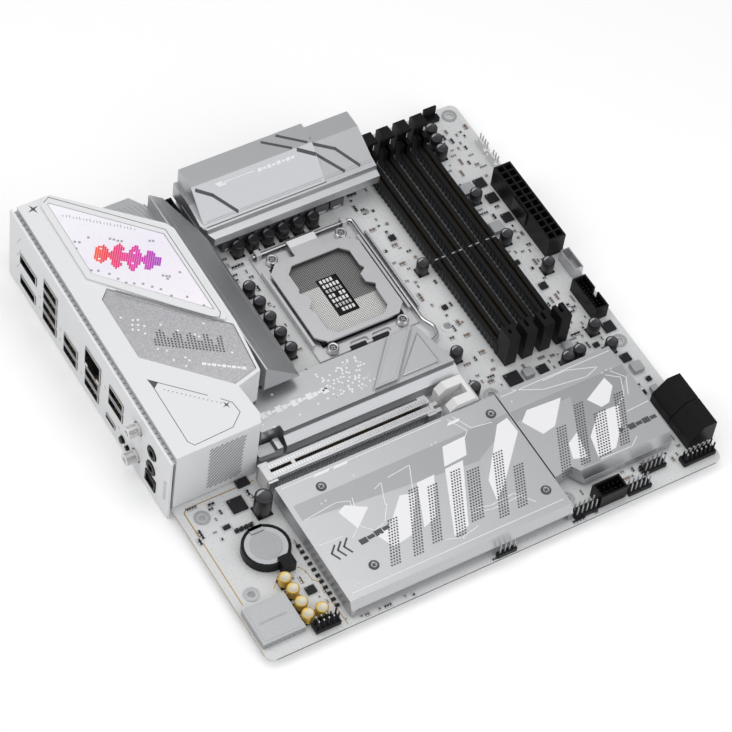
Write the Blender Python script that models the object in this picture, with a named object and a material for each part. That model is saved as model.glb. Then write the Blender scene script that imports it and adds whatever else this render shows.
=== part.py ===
# A microATX computer motherboard, built as separate pieces on one printed circuit board.
#
# Every place is given in millimetres in the board's own frame: X runs from the rear edge to the
# memory side, Y from the expansion-slot side to the processor's power stages, and Z is 0 at the
# board's upper face. One empty, board_corner, carries that frame into the part's frame, whose
# origin is the middle of the footprint on the surface that the board stands on.

import math

import bmesh
import bpy
from mathutils import Matrix, Vector

MM = 0.001
GAP = 0.3  # between neighbouring pieces, and under everything that sits on the board

# Board
BOARD_SIDE = 243.84
BOARD_THICKNESS = 1.6
BOARD_CORNER = 4.0
MOUNT_HOLE_RADIUS = 2.0
MOUNT_HOLES = [
    (10.16, 34.29),
    (10.16, 80.01),
    (33.02, 237.49),
    (165.1, 13.97),
    (165.1, 80.01),
    (165.1, 237.49),
    (237.49, 80.01),
    (237.49, 237.49),
]
PAD_INNER = 2.4
PAD_OUTER = 4.0
PAD_STEP = 0.25

# Processor socket
SOCKET_CENTRE = (129.3, 164.3)
COOLER_PITCH = 78.0
COOLER_CENTRE = (128.6, 163.2)
PACKAGE = (37.9, 45.4)
SCREW_X = (110.2, 148.6)
SCREW_Y = (134.9, 193.8)
SCREW_RADIUS = 1.5
SHAFT_Y = 199.3
SHAFT_Z = 2.9
WIRE_RADIUS = 1.0
LEVER_X = 157.4
PLATE_TOP = 4.7
PLATE_THICKNESS = 1.2

# Undersides: everything below stops at the plane the board stands on
FOOT_Z = -4.9

# Rear panel and cover
PANEL_OUTER_X = -2.6
PANEL_THICKNESS = 1.2
PANEL_Y = (89.5, 248.2)
PANEL_TOP = (37.5, 41.3)
ANTENNA_REACH = 6.0
COVER_ROOF = 39.0
COVER_SLOPE = 3.6 / 158.0
COVER_FRONT_Y = 90.5

# Memory slots
SLOT_LEFT = 179.2
SLOT_PITCH = 9.65
SLOT_WIDTH = 5.9
SLOT_HEIGHT = 7.0
SLOT_Y = (99.0, 223.0)
LATCH_PIVOT = (229.3, 2.7)

# Edge connectors
SATA_FACE_X = 245.4
SATA_HEIGHT = 13.5
POWER_CELL = 4.2

ORIGIN_X = (PANEL_OUTER_X - ANTENNA_REACH + SATA_FACE_X) / 2
ORIGIN_Y = PANEL_Y[1] / 2

COLOURS = {
    "white_mask": ((0.80, 0.81, 0.82), 0.45, 0.0),
    "white_plastic": ((0.86, 0.87, 0.88), 0.5, 0.0),
    "black_plastic": ((0.02, 0.02, 0.022), 0.5, 0.0),
    "silver": ((0.72, 0.73, 0.75), 0.38, 0.9),
    "steel": ((0.60, 0.61, 0.62), 0.3, 1.0),
    "panel_light": ((0.95, 0.92, 0.95), 0.3, 0.0),
    "inlay": ((0.50, 0.51, 0.53), 0.35, 0.8),
    "grey_can": ((0.45, 0.46, 0.47), 0.4, 0.6),
}


def clear_scene():
    for obj in list(bpy.data.objects):
        bpy.data.objects.remove(obj, do_unlink=True)


def new_collection(name):
    collection = bpy.data.collections.new(name)
    bpy.context.scene.collection.children.link(collection)
    return collection


def make_material(name):
    colour, roughness, metallic = COLOURS[name]
    material = bpy.data.materials.new(name)
    material.use_nodes = True
    shader = material.node_tree.nodes["Principled BSDF"]
    shader.inputs["Base Color"].default_value = (*colour, 1.0)
    shader.inputs["Roughness"].default_value = roughness
    shader.inputs["Metallic"].default_value = metallic
    return material


clear_scene()
PARTS = new_collection("motherboard")
CUTTERS = new_collection("cutters")
MATERIALS = {name: make_material(name) for name in COLOURS}
CORNER = bpy.data.objects.new("board_corner", None)
CORNER.location = (-ORIGIN_X * MM, -ORIGIN_Y * MM, -FOOT_Z * MM)
PARTS.objects.link(CORNER)


# Shapes. Each returns a bmesh in board millimetres.


def block(x, y, z):
    shape = bmesh.new()
    size = Vector((x[1] - x[0], y[1] - y[0], z[1] - z[0]))
    middle = Vector((x[0] + x[1], y[0] + y[1], z[0] + z[1])) / 2
    bmesh.ops.create_cube(shape, size=1.0, matrix=Matrix.LocRotScale(middle, None, size))
    return shape


def rod(axis, centre, radius, span, sides=16):
    """A cylinder along X, Y or Z; centre is in the other two axes, in order."""
    shape = bmesh.new()
    bmesh.ops.create_cone(
        shape, cap_ends=True, segments=sides, radius1=radius, radius2=radius, depth=span[1] - span[0]
    )
    turn = {
        "X": Matrix.Rotation(math.pi / 2, 4, "Y"),
        "Y": Matrix.Rotation(math.pi / 2, 4, "X"),
        "Z": Matrix.Identity(4),
    }[axis]
    middle = list(centre)
    middle.insert("XYZ".index(axis), (span[0] + span[1]) / 2)
    bmesh.ops.transform(shape, matrix=Matrix.Translation(middle) @ turn, verts=shape.verts)
    return shape


def flat_outline(loops, thickness):
    """A filled 2D curve of closed straight-sided loops; inner loops are holes."""
    curve = bpy.data.curves.new("outline", "CURVE")
    curve.dimensions = "2D"
    curve.fill_mode = "BOTH"
    curve.extrude = thickness / 2
    for loop in loops:
        spline = curve.splines.new("POLY")
        spline.points.add(len(loop) - 1)
        for point, (u, v) in zip(spline.points, loop):
            point.co = (u, v, 0.0, 1.0)
        spline.use_cyclic_u = True
    helper = bpy.data.objects.new("outline", curve)
    CUTTERS.objects.link(helper)
    graph = bpy.context.evaluated_depsgraph_get()
    mesh = bpy.data.meshes.new_from_object(helper.evaluated_get(graph))
    bpy.data.objects.remove(helper, do_unlink=True)
    shape = bmesh.new()
    shape.from_mesh(mesh)
    bpy.data.meshes.remove(mesh)
    bmesh.ops.remove_doubles(shape, verts=shape.verts, dist=0.001)
    bmesh.ops.recalc_face_normals(shape, faces=shape.faces)
    return shape


def slab(loops, z):
    """Loops in X and Y, between two heights."""
    shape = flat_outline(loops, z[1] - z[0])
    bmesh.ops.translate(shape, vec=(0, 0, (z[0] + z[1]) / 2), verts=shape.verts)
    return shape


def profile_along_x(loops, x):
    """Loops in Y and Z, swept along X."""
    shape = flat_outline(loops, x[1] - x[0])
    turn = Matrix(((0, 0, 1, (x[0] + x[1]) / 2), (1, 0, 0, 0), (0, 1, 0, 0), (0, 0, 0, 1)))
    bmesh.ops.transform(shape, matrix=turn, verts=shape.verts)
    return shape


def profile_along_y(loop, y):
    """One loop in X and Z, swept along Y."""
    shape = flat_outline([loop], y[1] - y[0])
    turn = Matrix(((1, 0, 0, 0), (0, 0, -1, (y[0] + y[1]) / 2), (0, 1, 0, 0), (0, 0, 0, 1)))
    bmesh.ops.transform(shape, matrix=turn, verts=shape.verts)
    return shape


def together(shapes):
    """Several shapes in one bmesh, left as separate bodies: for cutters and for unions."""
    joined = bmesh.new()
    for shape in shapes:
        mesh = bpy.data.meshes.new("joined")
        shape.to_mesh(mesh)
        joined.from_mesh(mesh)
        bpy.data.meshes.remove(mesh)
        shape.free()
    return joined


def circle(centre, radius, sides=16):
    step = 2 * math.pi / sides
    return [
        (centre[0] + radius * math.cos(k * step), centre[1] + radius * math.sin(k * step))
        for k in range(sides)
    ]


def rounded_rectangle(x, y, radius, steps=4):
    points = []
    corners = ((x[1], y[1], 0), (x[0], y[1], 1), (x[0], y[0], 2), (x[1], y[0], 3))
    for corner_x, corner_y, quarter in corners:
        centre_x = corner_x - radius if corner_x == x[1] else corner_x + radius
        centre_y = corner_y - radius if corner_y == y[1] else corner_y + radius
        for k in range(steps + 1):
            angle = (quarter + k / steps) * math.pi / 2
            points.append((centre_x + radius * math.cos(angle), centre_y + radius * math.sin(angle)))
    return points


def rectangle(x, y):
    return [(x[0], y[0]), (x[1], y[0]), (x[1], y[1]), (x[0], y[1])]


# Objects


def add_object(name, shape, collection, pivot=(0, 0, 0)):
    pivot = Vector(pivot)
    place = Matrix.Scale(MM, 4) @ Matrix.Translation(-pivot)
    bmesh.ops.transform(shape, matrix=place, verts=shape.verts)
    mesh = bpy.data.meshes.new(name)
    shape.to_mesh(mesh)
    shape.free()
    obj = bpy.data.objects.new(name, mesh)
    obj.parent = CORNER
    obj.location = pivot * MM
    collection.objects.link(obj)
    return obj


def add_part(name, shape, material, pivot=(0, 0, 0)):
    obj = add_object(name, shape, PARTS, pivot)
    obj.data.materials.append(MATERIALS[material])
    return obj


def shade_round(obj):
    obj.data.shade_smooth()
    obj.data.set_sharp_from_angle(angle=math.radians(35))


def combine(obj, shape, operation):
    tool = add_object(f"{obj.name}_{operation.lower()}", shape, CUTTERS)
    tool.hide_render = True
    tool.display_type = "WIRE"
    modifier = obj.modifiers.new(operation.lower(), "BOOLEAN")
    modifier.operation = operation
    modifier.object = tool
    modifier.solver = "EXACT"


def unite(obj, shape):
    combine(obj, shape, "UNION")


def cut(obj, shape):
    combine(obj, shape, "DIFFERENCE")


def cut_each(obj, shapes):
    """One Boolean for each shape, for cutters that overlap one another."""
    for shape in shapes:
        cut(obj, shape)


def screw_places():
    return [(x, y) for y in SCREW_Y for x in SCREW_X]


def cooler_places():
    half = COOLER_PITCH / 2
    return [(COOLER_CENTRE[0] + i * half, COOLER_CENTRE[1] + j * half) for j in (-1, 1) for i in (-1, 1)]


# The board


def ring(centre, inner, outer, z):
    return slab([circle(centre, outer), circle(centre, inner)], z)


def build_pcb():
    outline = rounded_rectangle((0, BOARD_SIDE), (0, BOARD_SIDE), BOARD_CORNER)
    holes = [circle(place, MOUNT_HOLE_RADIUS) for place in MOUNT_HOLES + cooler_places()]
    holes += [circle(place, SCREW_RADIUS + GAP) for place in screw_places()]
    pcb = add_part("pcb", slab([outline, *holes], (-BOARD_THICKNESS, 0)), "white_mask")
    under = (-BOARD_THICKNESS - PAD_STEP, -BOARD_THICKNESS / 2)
    over = (-BOARD_THICKNESS / 2, PAD_STEP)
    pads = [ring(place, PAD_INNER, PAD_OUTER, under) for place in MOUNT_HOLES]
    pads += [ring(place, PAD_INNER, PAD_OUTER, over) for place in cooler_places()]
    unite(pcb, together(pads))


# Processor socket


def build_socket_backplate():
    top = -BOARD_THICKNESS - GAP
    plate = (top - 2.0, top)
    outline = rounded_rectangle((100, 159), (124, 204.5), 6.0)
    window = rounded_rectangle((117.5, 141.5), (149, 180), 3.0)
    holes = [circle(place, SCREW_RADIUS + GAP) for place in screw_places()]
    backplate = add_part("socket_backplate", slab([outline, window, *holes], plate), "steel")
    bosses = [ring(place, SCREW_RADIUS + GAP + 0.2, 4.0, (FOOT_Z, top - 1.0)) for place in screw_places()]
    unite(backplate, together(bosses))


def build_socket_housing():
    x = (SOCKET_CENTRE[0] - 22.0, SOCKET_CENTRE[0] + 22.0)
    y = (SOCKET_CENTRE[1] - 25.6, SOCKET_CENTRE[1] + 25.6)
    housing = add_part("socket_housing", block(x, y, (GAP, 3.1)), "black_plastic")
    half_x = PACKAGE[0] / 2
    half_y = PACKAGE[1] / 2
    recess = block(
        (SOCKET_CENTRE[0] - half_x, SOCKET_CENTRE[0] + half_x),
        (SOCKET_CENTRE[1] - half_y, SOCKET_CENTRE[1] + half_y),
        (1.2, 5.0),
    )
    cavity = block((123.6, 134.6), (151.2, 174.4), (0.6, 2.0))
    cut(housing, recess)
    cut(housing, cavity)


def build_socket_frame():
    """The sheet frame that the load plate and its lever turn on."""
    outline = [
        (101.6, 131.6),
        (156.0, 131.6),
        (156.0, 201.4),
        (101.6, 201.4),
    ]
    window = rectangle((106.6, 152.0), (138.2, 190.2))
    holes = [circle(place, SCREW_RADIUS + GAP) for place in screw_places()]
    frame = add_part("socket_frame", slab([outline, window, *holes], (GAP, 1.3)), "steel")
    walls = [
        block((101.6, 103.0), (139.5, 189.0), (0.6, 4.2)),
        block((154.4, 155.6), (139.5, 189.0), (0.6, 4.2)),
    ]
    lug_span = ((104.0, 106.6), (151.6, 154.2))
    walls += [block(span, (SHAFT_Y - 2.0, SHAFT_Y + 2.0), (0.6, 5.2)) for span in lug_span]
    unite(frame, together(walls))
    bearings = rod("X", (SHAFT_Y, SHAFT_Z), WIRE_RADIUS + 0.4, (103.0, 155.4), 12)
    slots = [
        slab([rounded_rectangle((119.6, 129.2), (132.6, 135.8), 1.5, 3)], (0, 2)),
        slab([rounded_rectangle((131.6, 141.8), (132.6, 135.8), 1.5, 3)], (0, 2)),
    ]
    cut(frame, together([bearings, *slots]))
    cut(frame, block((120.2, 137.0), (196.4, 203), (-1, 3)))


def load_plate_window():
    """The opening of the load plate, with the rounded bites at its two long sides."""
    left, right = 112.4, 146.2
    low, high = 141.3, 185.6
    return [
        (left + 4, low),
        (right - 4, low),
        (right, low + 4),
        (right, 156.5),
        (right + 1.4, 159.0),
        (right - 2.4, 162.0),
        (right - 2.4, 167.0),
        (right + 1.4, 169.5),
        (right, 172.0),
        (right, high - 4),
        (right - 4, high),
        (left + 4, high),
        (left, high - 4),
        (left, 171.5),
        (left - 1.2, 169.5),
        (left + 1.6, 166.5),
        (left + 1.6, 163.0),
        (left - 1.2, 159.0),
        (left, 156.0),
        (left, low + 4),
    ]


def build_load_plate():
    corner = 5.0
    left, right = 104.6, 153.4
    low, high = 138.3, 190.2
    outline = [
        (left + corner, low),
        (right - corner, low),
        (right, low + corner),
        (right, high - corner),
        (right - corner, high),
        (left + corner, high),
        (left, high - corner),
        (left, low + corner),
    ]
    under = PLATE_TOP - PLATE_THICKNESS
    sheet = slab([outline, load_plate_window()], (under, PLATE_TOP))
    plate = add_part("load_plate", sheet, "steel", (SOCKET_CENTRE[0], SHAFT_Y, SHAFT_Z))
    inner, outer = WIRE_RADIUS + 0.35, WIRE_RADIUS + 1.2
    hook = [(189.0, under + 0.15), (SHAFT_Y - 2.0, under + 0.15)]
    hook += [arc_point(inner, degrees) for degrees in (135, 90, 45, 0)]
    hook += [arc_point(outer, degrees) for degrees in (0, 45, 90)]
    hook += [(SHAFT_Y - 3.8, PLATE_TOP - 0.15), (189.0, PLATE_TOP - 0.15)]
    unite(plate, profile_along_x([hook], (121.0, 136.2)))


def arc_point(radius, degrees):
    """A point of Y and Z at this angle around the lever's shaft, from +Y."""
    angle = math.radians(degrees)
    return SHAFT_Y + radius * math.cos(angle), SHAFT_Z + radius * math.sin(angle)


def fillet(points, radius, steps=3):
    """The open polyline with each inner corner replaced by a short arc-like run of points."""
    result = [Vector(points[0])]
    for before, corner, after in zip(points, points[1:], points[2:]):
        corner = Vector(corner)
        into = (Vector(before) - corner).normalized() * radius
        out = (Vector(after) - corner).normalized() * radius
        for k in range(steps + 1):
            t = k / steps
            result.append(corner + into * (1 - t) ** 2 + out * t**2)
    result.append(Vector(points[-1]))
    return result


def build_load_lever():
    route = [
        (102.6, SHAFT_Y, SHAFT_Z),
        (LEVER_X, SHAFT_Y, SHAFT_Z),
        (LEVER_X, 131.0, SHAFT_Z),
        (160.2, 125.6, SHAFT_Z),
        (159.0, 119.6, SHAFT_Z),
        (154.4, 118.0, SHAFT_Z),
    ]
    curve = bpy.data.curves.new("load_lever", "CURVE")
    curve.dimensions = "3D"
    curve.bevel_depth = WIRE_RADIUS * MM
    curve.bevel_resolution = 2
    curve.use_fill_caps = True
    pivot = Vector((LEVER_X, SHAFT_Y, SHAFT_Z))
    points = fillet(route, 1.6)
    spline = curve.splines.new("POLY")
    spline.points.add(len(points) - 1)
    for target, point in zip(spline.points, points):
        target.co = (*((point - pivot) * MM), 1.0)
    curve.materials.append(MATERIALS["steel"])
    lever = bpy.data.objects.new("load_lever", curve)
    lever.parent = CORNER
    lever.location = pivot * MM
    PARTS.objects.link(lever)


def build_socket_screws():
    for number, place in enumerate(screw_places(), 1):
        head = rod("Z", place, 3.0, (1.3 + GAP, 3.6))
        screw = add_part(f"socket_screw_{number}", head, "steel")
        unite(screw, rod("Z", place, SCREW_RADIUS, (FOOT_Z + 0.3, 2.0)))
        cut(screw, rod("Z", place, 1.4, (2.6, 4.0), 6))


# Power stages


def build_top_heatsink():
    """A low deck with lips along its front, a ridge behind it and a ramp at its right end."""
    deck = [
        (216.5, 1.8),
        (241.4, 1.8),
        (241.4, 24.6),
        (226.0, 24.6),
        (213.4, 21.6),
        (211.0, 21.2),
        (210.4, 18.6),
        (207.0, 17.6),
        (207.0, 12.6),
        (216.5, 10.6),
    ]
    ridge = [(82.6, 214.0), (150.0, 214.0), (150.0, 240.6), (82.6, 240.6)]
    ramp = [(147.0, 213.6), (176.4, 213.6), (176.4, 240.8), (147.0, 240.8)]
    sink = add_part("top_vrm_heatsink", profile_along_x([deck], (81.0, 176.8)), "silver")
    unite(sink, slab([ridge], (20.0, 34.6)))
    unite(sink, slab([ramp], (20.0, 30.4)))
    steep = [(212.0, 20.3), (228.4, 34.9), (228.4, 36.0), (212.0, 36.0)]
    gentle = [(212.0, 21.2), (231.0, 30.7), (231.0, 36.0), (212.0, 36.0)]
    ends = [
        profile_along_x([steep], (80.0, 149.4)),
        profile_along_x([gentle], (149.0, 178.0)),
        slab([[(80, 199), (90, 199), (80, 216)]], (0, 40)),
        block((80, 83.0), (228.5, 244), (0, 15)),
    ]
    cut_each(sink, ends)


def build_rear_heatsink():
    section = [
        (47.5, 1.8),
        (76.0, 1.8),
        (76.0, 10.0),
        (81.0, 11.0),
        (81.0, 20.4),
        (79.6, 22.0),
        (62.4, 36.0),
        (61.6, 36.0),
        (61.6, 16.2),
        (47.5, 16.2),
    ]
    sink = add_part("rear_vrm_heatsink", profile_along_y(section, (123.5, 231.6)), "silver")
    nose = profile_along_y([(61.6, 20.5), (80.6, 20.5), (79.4, 22.0), (62.4, 36.0), (61.6, 36.0)], (117.6, 126))
    wing = slab([[(62.0, 214), (62.0, 231.6), (56.0, 240.5), (37.0, 240.5)]], (1.8, 27.5))
    unite(sink, nose)
    unite(sink, wing)
    cover_clearance = slab([[(46, 224.5), (62.4, 208.8), (46, 208.8)]], (26, 40))
    corner = slab([[(82.5, 204), (84, 204), (84, 235), (69.0, 235), (69.0, 232.5)]], (0, 40))
    socket_side = slab([[(70.5, 205), (78, 205), (78, 236), (60, 236), (60, 231)]], (0, 14))
    cut_each(sink, [cover_clearance, corner, socket_side])


# Rear cover


def raise_roof(shape, above):
    """Tilts the top of a prism, so that the cover rises towards the board's far side."""
    for vertex in shape.verts:
        if vertex.co.z > above:
            vertex.co.z += (vertex.co.y - PANEL_Y[0]) * COVER_SLOPE
    return shape


def cover_outline(inset):
    left = -2.0 if inset else 0.6
    return [
        (left, COVER_FRONT_Y + inset),
        (43.8 - inset, COVER_FRONT_Y + 0.6 + inset),
        (46.0 - inset, 96.0 + inset * 0.4),
        (44.6 - inset, 113.2 + inset * 0.4),
        (57.6 - inset * 0.5, 116.6 + inset),
        (60.8 - inset, 145.0),
        (60.8 - inset, 205.0 - inset * 0.4),
        (58.6 - inset, 209.4 - inset * 0.4),
        (17.4 - inset, 247.4 - inset),
        (left, 247.4 - inset),
    ]


def light_panel_outline(margin):
    return [
        (13.6 - margin, 197.0 - margin * 0.4),
        (54.6 + margin * 0.3, 154.8 - margin * 2.4),
        (54.8 + margin, 155.4 - margin * 2.0),
        (54.6 + margin, 203.4 + margin * 0.4),
        (14.4 - margin * 0.2, 242.6 + margin * 1.4),
        (13.6 - margin, 242.0),
    ]


def inlay_outline(inset):
    return [
        (11.4 + inset, 146.6 + inset * 0.4),
        (43.6, 114.9 + inset * 1.5),
        (56.6 - inset, 118.2 + inset),
        (59.2 - inset, 144.6 - inset * 0.4),
        (16.4, 187.6 - inset * 1.4),
        (11.4 + inset, 182.8 - inset * 0.4),
    ]


def build_io_cover():
    roof = raise_roof(slab([cover_outline(0)], (GAP, COVER_ROOF)), 10)
    cover = add_part("io_cover", roof, "white_plastic")
    border = raise_roof(slab([light_panel_outline(3.2)], (COVER_ROOF - 1.5, COVER_ROOF + 1.2)), 10)
    unite(cover, border)
    hollow = raise_roof(slab([cover_outline(1.6)], (-3.0, COVER_ROOF - 3.0)), 10)
    open_side = slab([rectangle((-1, 62), (COVER_FRONT_Y + 1.7, 250))], (-2.0, 16.8))
    light_pocket = raise_roof(slab([light_panel_outline(0)], (COVER_ROOF - 1.2, COVER_ROOF + 6)), 10)
    inlay_pocket = raise_roof(slab([inlay_outline(0)], (COVER_ROOF - 1.9, COVER_ROOF + 6)), 10)
    port_side = block((-1, 62), (COVER_FRONT_Y - 1, COVER_FRONT_Y + 4), (-2, 0.5))
    cut(cover, hollow)
    cut(cover, open_side)
    cut(cover, light_pocket)
    cut(cover, inlay_pocket)
    cut(cover, port_side)


def build_io_light_panel():
    panel = slab([light_panel_outline(-GAP)], (COVER_ROOF - 0.9, COVER_ROOF + 1.0))
    add_part("io_light_panel", raise_roof(panel, 10), "panel_light")


def build_io_inlay_plate():
    plate = slab([inlay_outline(GAP)], (COVER_ROOF - 1.6, COVER_ROOF - 0.5))
    add_part("io_inlay_plate", raise_roof(plate, 10), "inlay")


# Rear sockets: each has a block behind the panel and one mouth or more through it. A mouth is
# (middle in Y, middle in Z, width, height).

MOUTH_X = (-3.1, -0.5)
BLOCK_X = -1.0
MOUTH_WALL = 0.5
USB_A = (13.4, 5.9)
REAR_SOCKETS = {
    "displayport_socket": {
        "block": ((220.0, 236.8), (8.2, 23.6), 14.0),
        "mouths": [(228.4, 18.8, 16.6, 6.4)],
    },
    "hdmi_socket": {
        "block": ((220.0, 236.8), (GAP, 7.8), 12.0),
        "mouths": [(228.4, 3.9, 15.4, 6.2)],
    },
    "usb_quad_socket": {
        "block": ((198.8, 213.2), (GAP, 31.0), 17.0),
        "mouths": [(206.0, 3.7 + 7.7 * k, *USB_A) for k in range(4)],
    },
    "usb_pair_socket_a": {
        "block": ((177.6, 192.0), (GAP, 15.2), 17.0),
        "mouths": [(184.8, 3.7 + 7.7 * k, *USB_A) for k in range(2)],
    },
    "lan_usb_socket": {
        "block": ((155.4, 171.4), (GAP, 29.4), 20.0),
        "mouths": [(163.4, 3.7, *USB_A), (163.4, 11.4, *USB_A), (163.4, 21.8, 15.0, 12.6)],
    },
    "usb_pair_socket_b": {
        "block": ((133.4, 147.8), (12.4, 28.4), 17.0),
        "mouths": [(140.6, 16.6 + 7.7 * k, *USB_A) for k in range(2)],
    },
    "rear_usb_c_socket": {
        "block": ((139.8, 149.2), (GAP, 4.2), 9.0),
        "mouths": [(144.5, 2.3, 8.9, 3.2)],
    },
}
OPTICAL_MOUTH = (106.0, 4.6, 9.4, 8.2)
JACKS = [(106.4, 13.9), (106.4, 25.2)]
JACK_RADIUS = 3.9
ANTENNAS = [(119.8, 27.4), (120.2, 6.0)]
ANTENNA_RADIUS = 3.0
ANTENNA_HOLE = 4.0
BUTTONS = {"bios_button": (132.8, 2.6, 1.9), "clear_cmos_button": (127.6, 2.6, 1.3)}


def mouth_range(mouth, grow):
    middle_y, middle_z, width, height = mouth
    half_y = width / 2 + grow
    half_z = height / 2 + grow
    return (middle_y - half_y, middle_y + half_y), (middle_z - half_z, middle_z + half_z)


def all_mouths():
    mouths = [mouth for socket in REAR_SOCKETS.values() for mouth in socket["mouths"]]
    return mouths + [OPTICAL_MOUTH]


def build_rear_panel():
    low_y, high_y = PANEL_Y
    outline = [(low_y, FOOT_Z), (high_y, FOOT_Z), (high_y, PANEL_TOP[1]), (low_y, PANEL_TOP[0])]
    holes = [rectangle(*mouth_range(mouth, GAP)) for mouth in all_mouths()]
    holes += [circle(place, JACK_RADIUS + GAP) for place in JACKS]
    holes += [circle(place, ANTENNA_HOLE) for place in ANTENNAS]
    holes += [circle((y, z), radius + 0.4, 12) for y, z, radius in BUTTONS.values()]
    sheet = profile_along_x([outline, *holes], (PANEL_OUTER_X, PANEL_OUTER_X + PANEL_THICKNESS))
    add_part("rear_panel", sheet, "white_plastic")


def build_rear_sockets():
    for name, socket in REAR_SOCKETS.items():
        block_y, block_z, depth = socket["block"]
        body = add_part(name, block((BLOCK_X, depth), block_y, block_z), "steel")
        unite(body, together([block(MOUTH_X, *mouth_range(m, 0)) for m in socket["mouths"]]))
        cavities = []
        for mouth in socket["mouths"]:
            wide, tall = mouth_range(mouth, -MOUTH_WALL)
            cavities.append(block((MOUTH_X[0] - 1, depth - 3.0), wide, tall))
        cut(body, together(cavities))
        tongues = [
            block((1.0, depth - 2.0), *mouth_range((y, z, wide - 3.0, tall - 4.2), 0))
            for y, z, wide, tall in socket["mouths"]
            if 4.2 < tall < 8.0
        ]
        if tongues:
            unite(body, together(tongues))


def build_audio_stack():
    stack = add_part("audio_socket_stack", block((BLOCK_X, 13.0), (99.8, 112.6), (GAP, 30.4)), "black_plastic")
    barrels = [rod("X", place, JACK_RADIUS, MOUTH_X) for place in JACKS]
    barrels.append(block(MOUTH_X, *mouth_range(OPTICAL_MOUTH, 0)))
    bores = [rod("X", place, 1.9, (MOUTH_X[0] - 1, 9.0), 12) for place in JACKS]
    bores.append(block((MOUTH_X[0] - 1, -2.2), *mouth_range(OPTICAL_MOUTH, -1.2)))
    unite(stack, together(barrels))
    cut(stack, together(bores))


def build_antenna_sockets():
    for number, place in enumerate(ANTENNAS, 1):
        tip = PANEL_OUTER_X - ANTENNA_REACH
        barrel = rod("X", place, ANTENNA_RADIUS, (tip, 4.0))
        socket = add_part(f"antenna_socket_{number}", barrel, "white_plastic")
        unite(socket, block((3.0, 8.0), (place[0] - 4.6, place[0] + 4.6), (place[1] - 4.6, place[1] + 4.6)))
        cut(socket, rod("X", place, 1.5, (tip - 1, tip + 4.0), 12))


def build_rear_buttons():
    for name, (y, z, radius) in BUTTONS.items():
        button = rod("X", (y, z), radius, (-3.9, 1.6), 12)
        add_part(name, button, "black_plastic", (PANEL_OUTER_X, y, z))


# Memory


def build_memory_slot(number, left):
    right = left + SLOT_WIDTH
    middle = (left + right) / 2
    body = block((left, right), SLOT_Y, (GAP, SLOT_HEIGHT))
    slot = add_part(f"dimm_slot_{number}", body, "black_plastic")
    fixed_tower = block((left + 0.2, right + 0.2), (91.2, SLOT_Y[0] + 1), (GAP, 20.4))
    cheeks = block((left, right), (SLOT_Y[1] - 1, 226.0), (GAP, 12.5))
    unite(slot, fixed_tower)
    unite(slot, cheeks)
    groove = (middle - 0.8, middle + 0.8)
    key_y = 156.8
    cuts = [
        block(groove, (95.0, key_y - 1.0), (3.0, 22.0)),
        block(groove, (key_y + 1.0, 227.0), (3.0, 22.0)),
        block((left - 1, left + 0.5), (101, 221), (GAP - 1, 2.8)),
        block((right - 0.5, right + 1), (101, 221), (GAP - 1, 2.8)),
    ]
    cut(slot, together(cuts))


def build_memory_latch(number, left):
    section = [
        (227.0, 1.4),
        (231.2, 1.4),
        (232.0, 19.4),
        (230.8, 21.2),
        (223.6, 21.2),
        (223.6, 19.6),
        (226.6, 16.6),
    ]
    wide = (left + 0.1, left + SLOT_WIDTH - 0.1)
    pivot = (left + SLOT_WIDTH / 2, *LATCH_PIVOT)
    add_part(f"dimm_latch_{number}", profile_along_x([section], wide), "black_plastic", pivot)


def build_memory():
    for number in range(4):
        left = SLOT_LEFT + SLOT_PITCH * number
        build_memory_slot(number + 1, left)
        build_memory_latch(number + 1, left)


# Power and data connectors


def cell_grid(x0, y0, columns, rows, size, z):
    return [
        block(
            (x0 + i * POWER_CELL - size / 2, x0 + i * POWER_CELL + size / 2),
            (y0 + j * POWER_CELL - size / 2, y0 + j * POWER_CELL + size / 2),
            z,
        )
        for i in range(columns)
        for j in range(rows)
    ]


def build_power_connectors():
    atx = add_part("atx_power_connector", block((232.6, 242.1), (138.4, 190.1), (GAP, 13.2)), "black_plastic")
    cut(atx, together(cell_grid(235.25, 141.15, 2, 12, 3.3, (4.0, 14))))
    cpu = add_part("cpu_power_connector", block((63.0, 80.6), (232.6, 242.2), (GAP, 13.2)), "black_plastic")
    cut(cpu, together(cell_grid(65.5, 235.3, 4, 2, 3.3, (4.0, 14))))


def build_front_connectors():
    shell = block((237.6, 242.6), (121.6, 135.0), (GAP, 7.2))
    usb_c = add_part("front_usb_c_socket", shell, "steel")
    cut(usb_c, block((238.2, 242.0), (122.2, 134.4), (1.4, 9)))
    box = add_part("front_usb_3_header", block((232.4, 239.9), (95.2, 116.4), (GAP, 8.8)), "black_plastic")
    cut(box, block((233.3, 239.0), (96.2, 115.4), (1.6, 10)))
    cut(box, block((238.5, 241.0), (104.4, 107.4), (3.4, 10)))
    unite(box, pins(235.15, 97.0, 2, 10, 2.0, (1.0, 7.2)))


def build_sata_sockets():
    section = [
        (231.0, GAP),
        (SATA_FACE_X, GAP),
        (SATA_FACE_X, SATA_HEIGHT),
        (238.2, SATA_HEIGHT),
        (231.0, 5.6),
    ]
    for number, low in enumerate((11.8, 27.9), 1):
        span = (low, low + 15.7)
        socket = add_part(f"sata_socket_{number}", profile_along_y(section, span), "black_plastic")
        mouths = [
            block((SATA_FACE_X - 6.0, SATA_FACE_X + 1), (low + 2.0, low + 13.7), (z, z + 2.6))
            for z in (2.6, 8.6)
        ]
        cut(socket, together(mouths))


# Expansion


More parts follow.
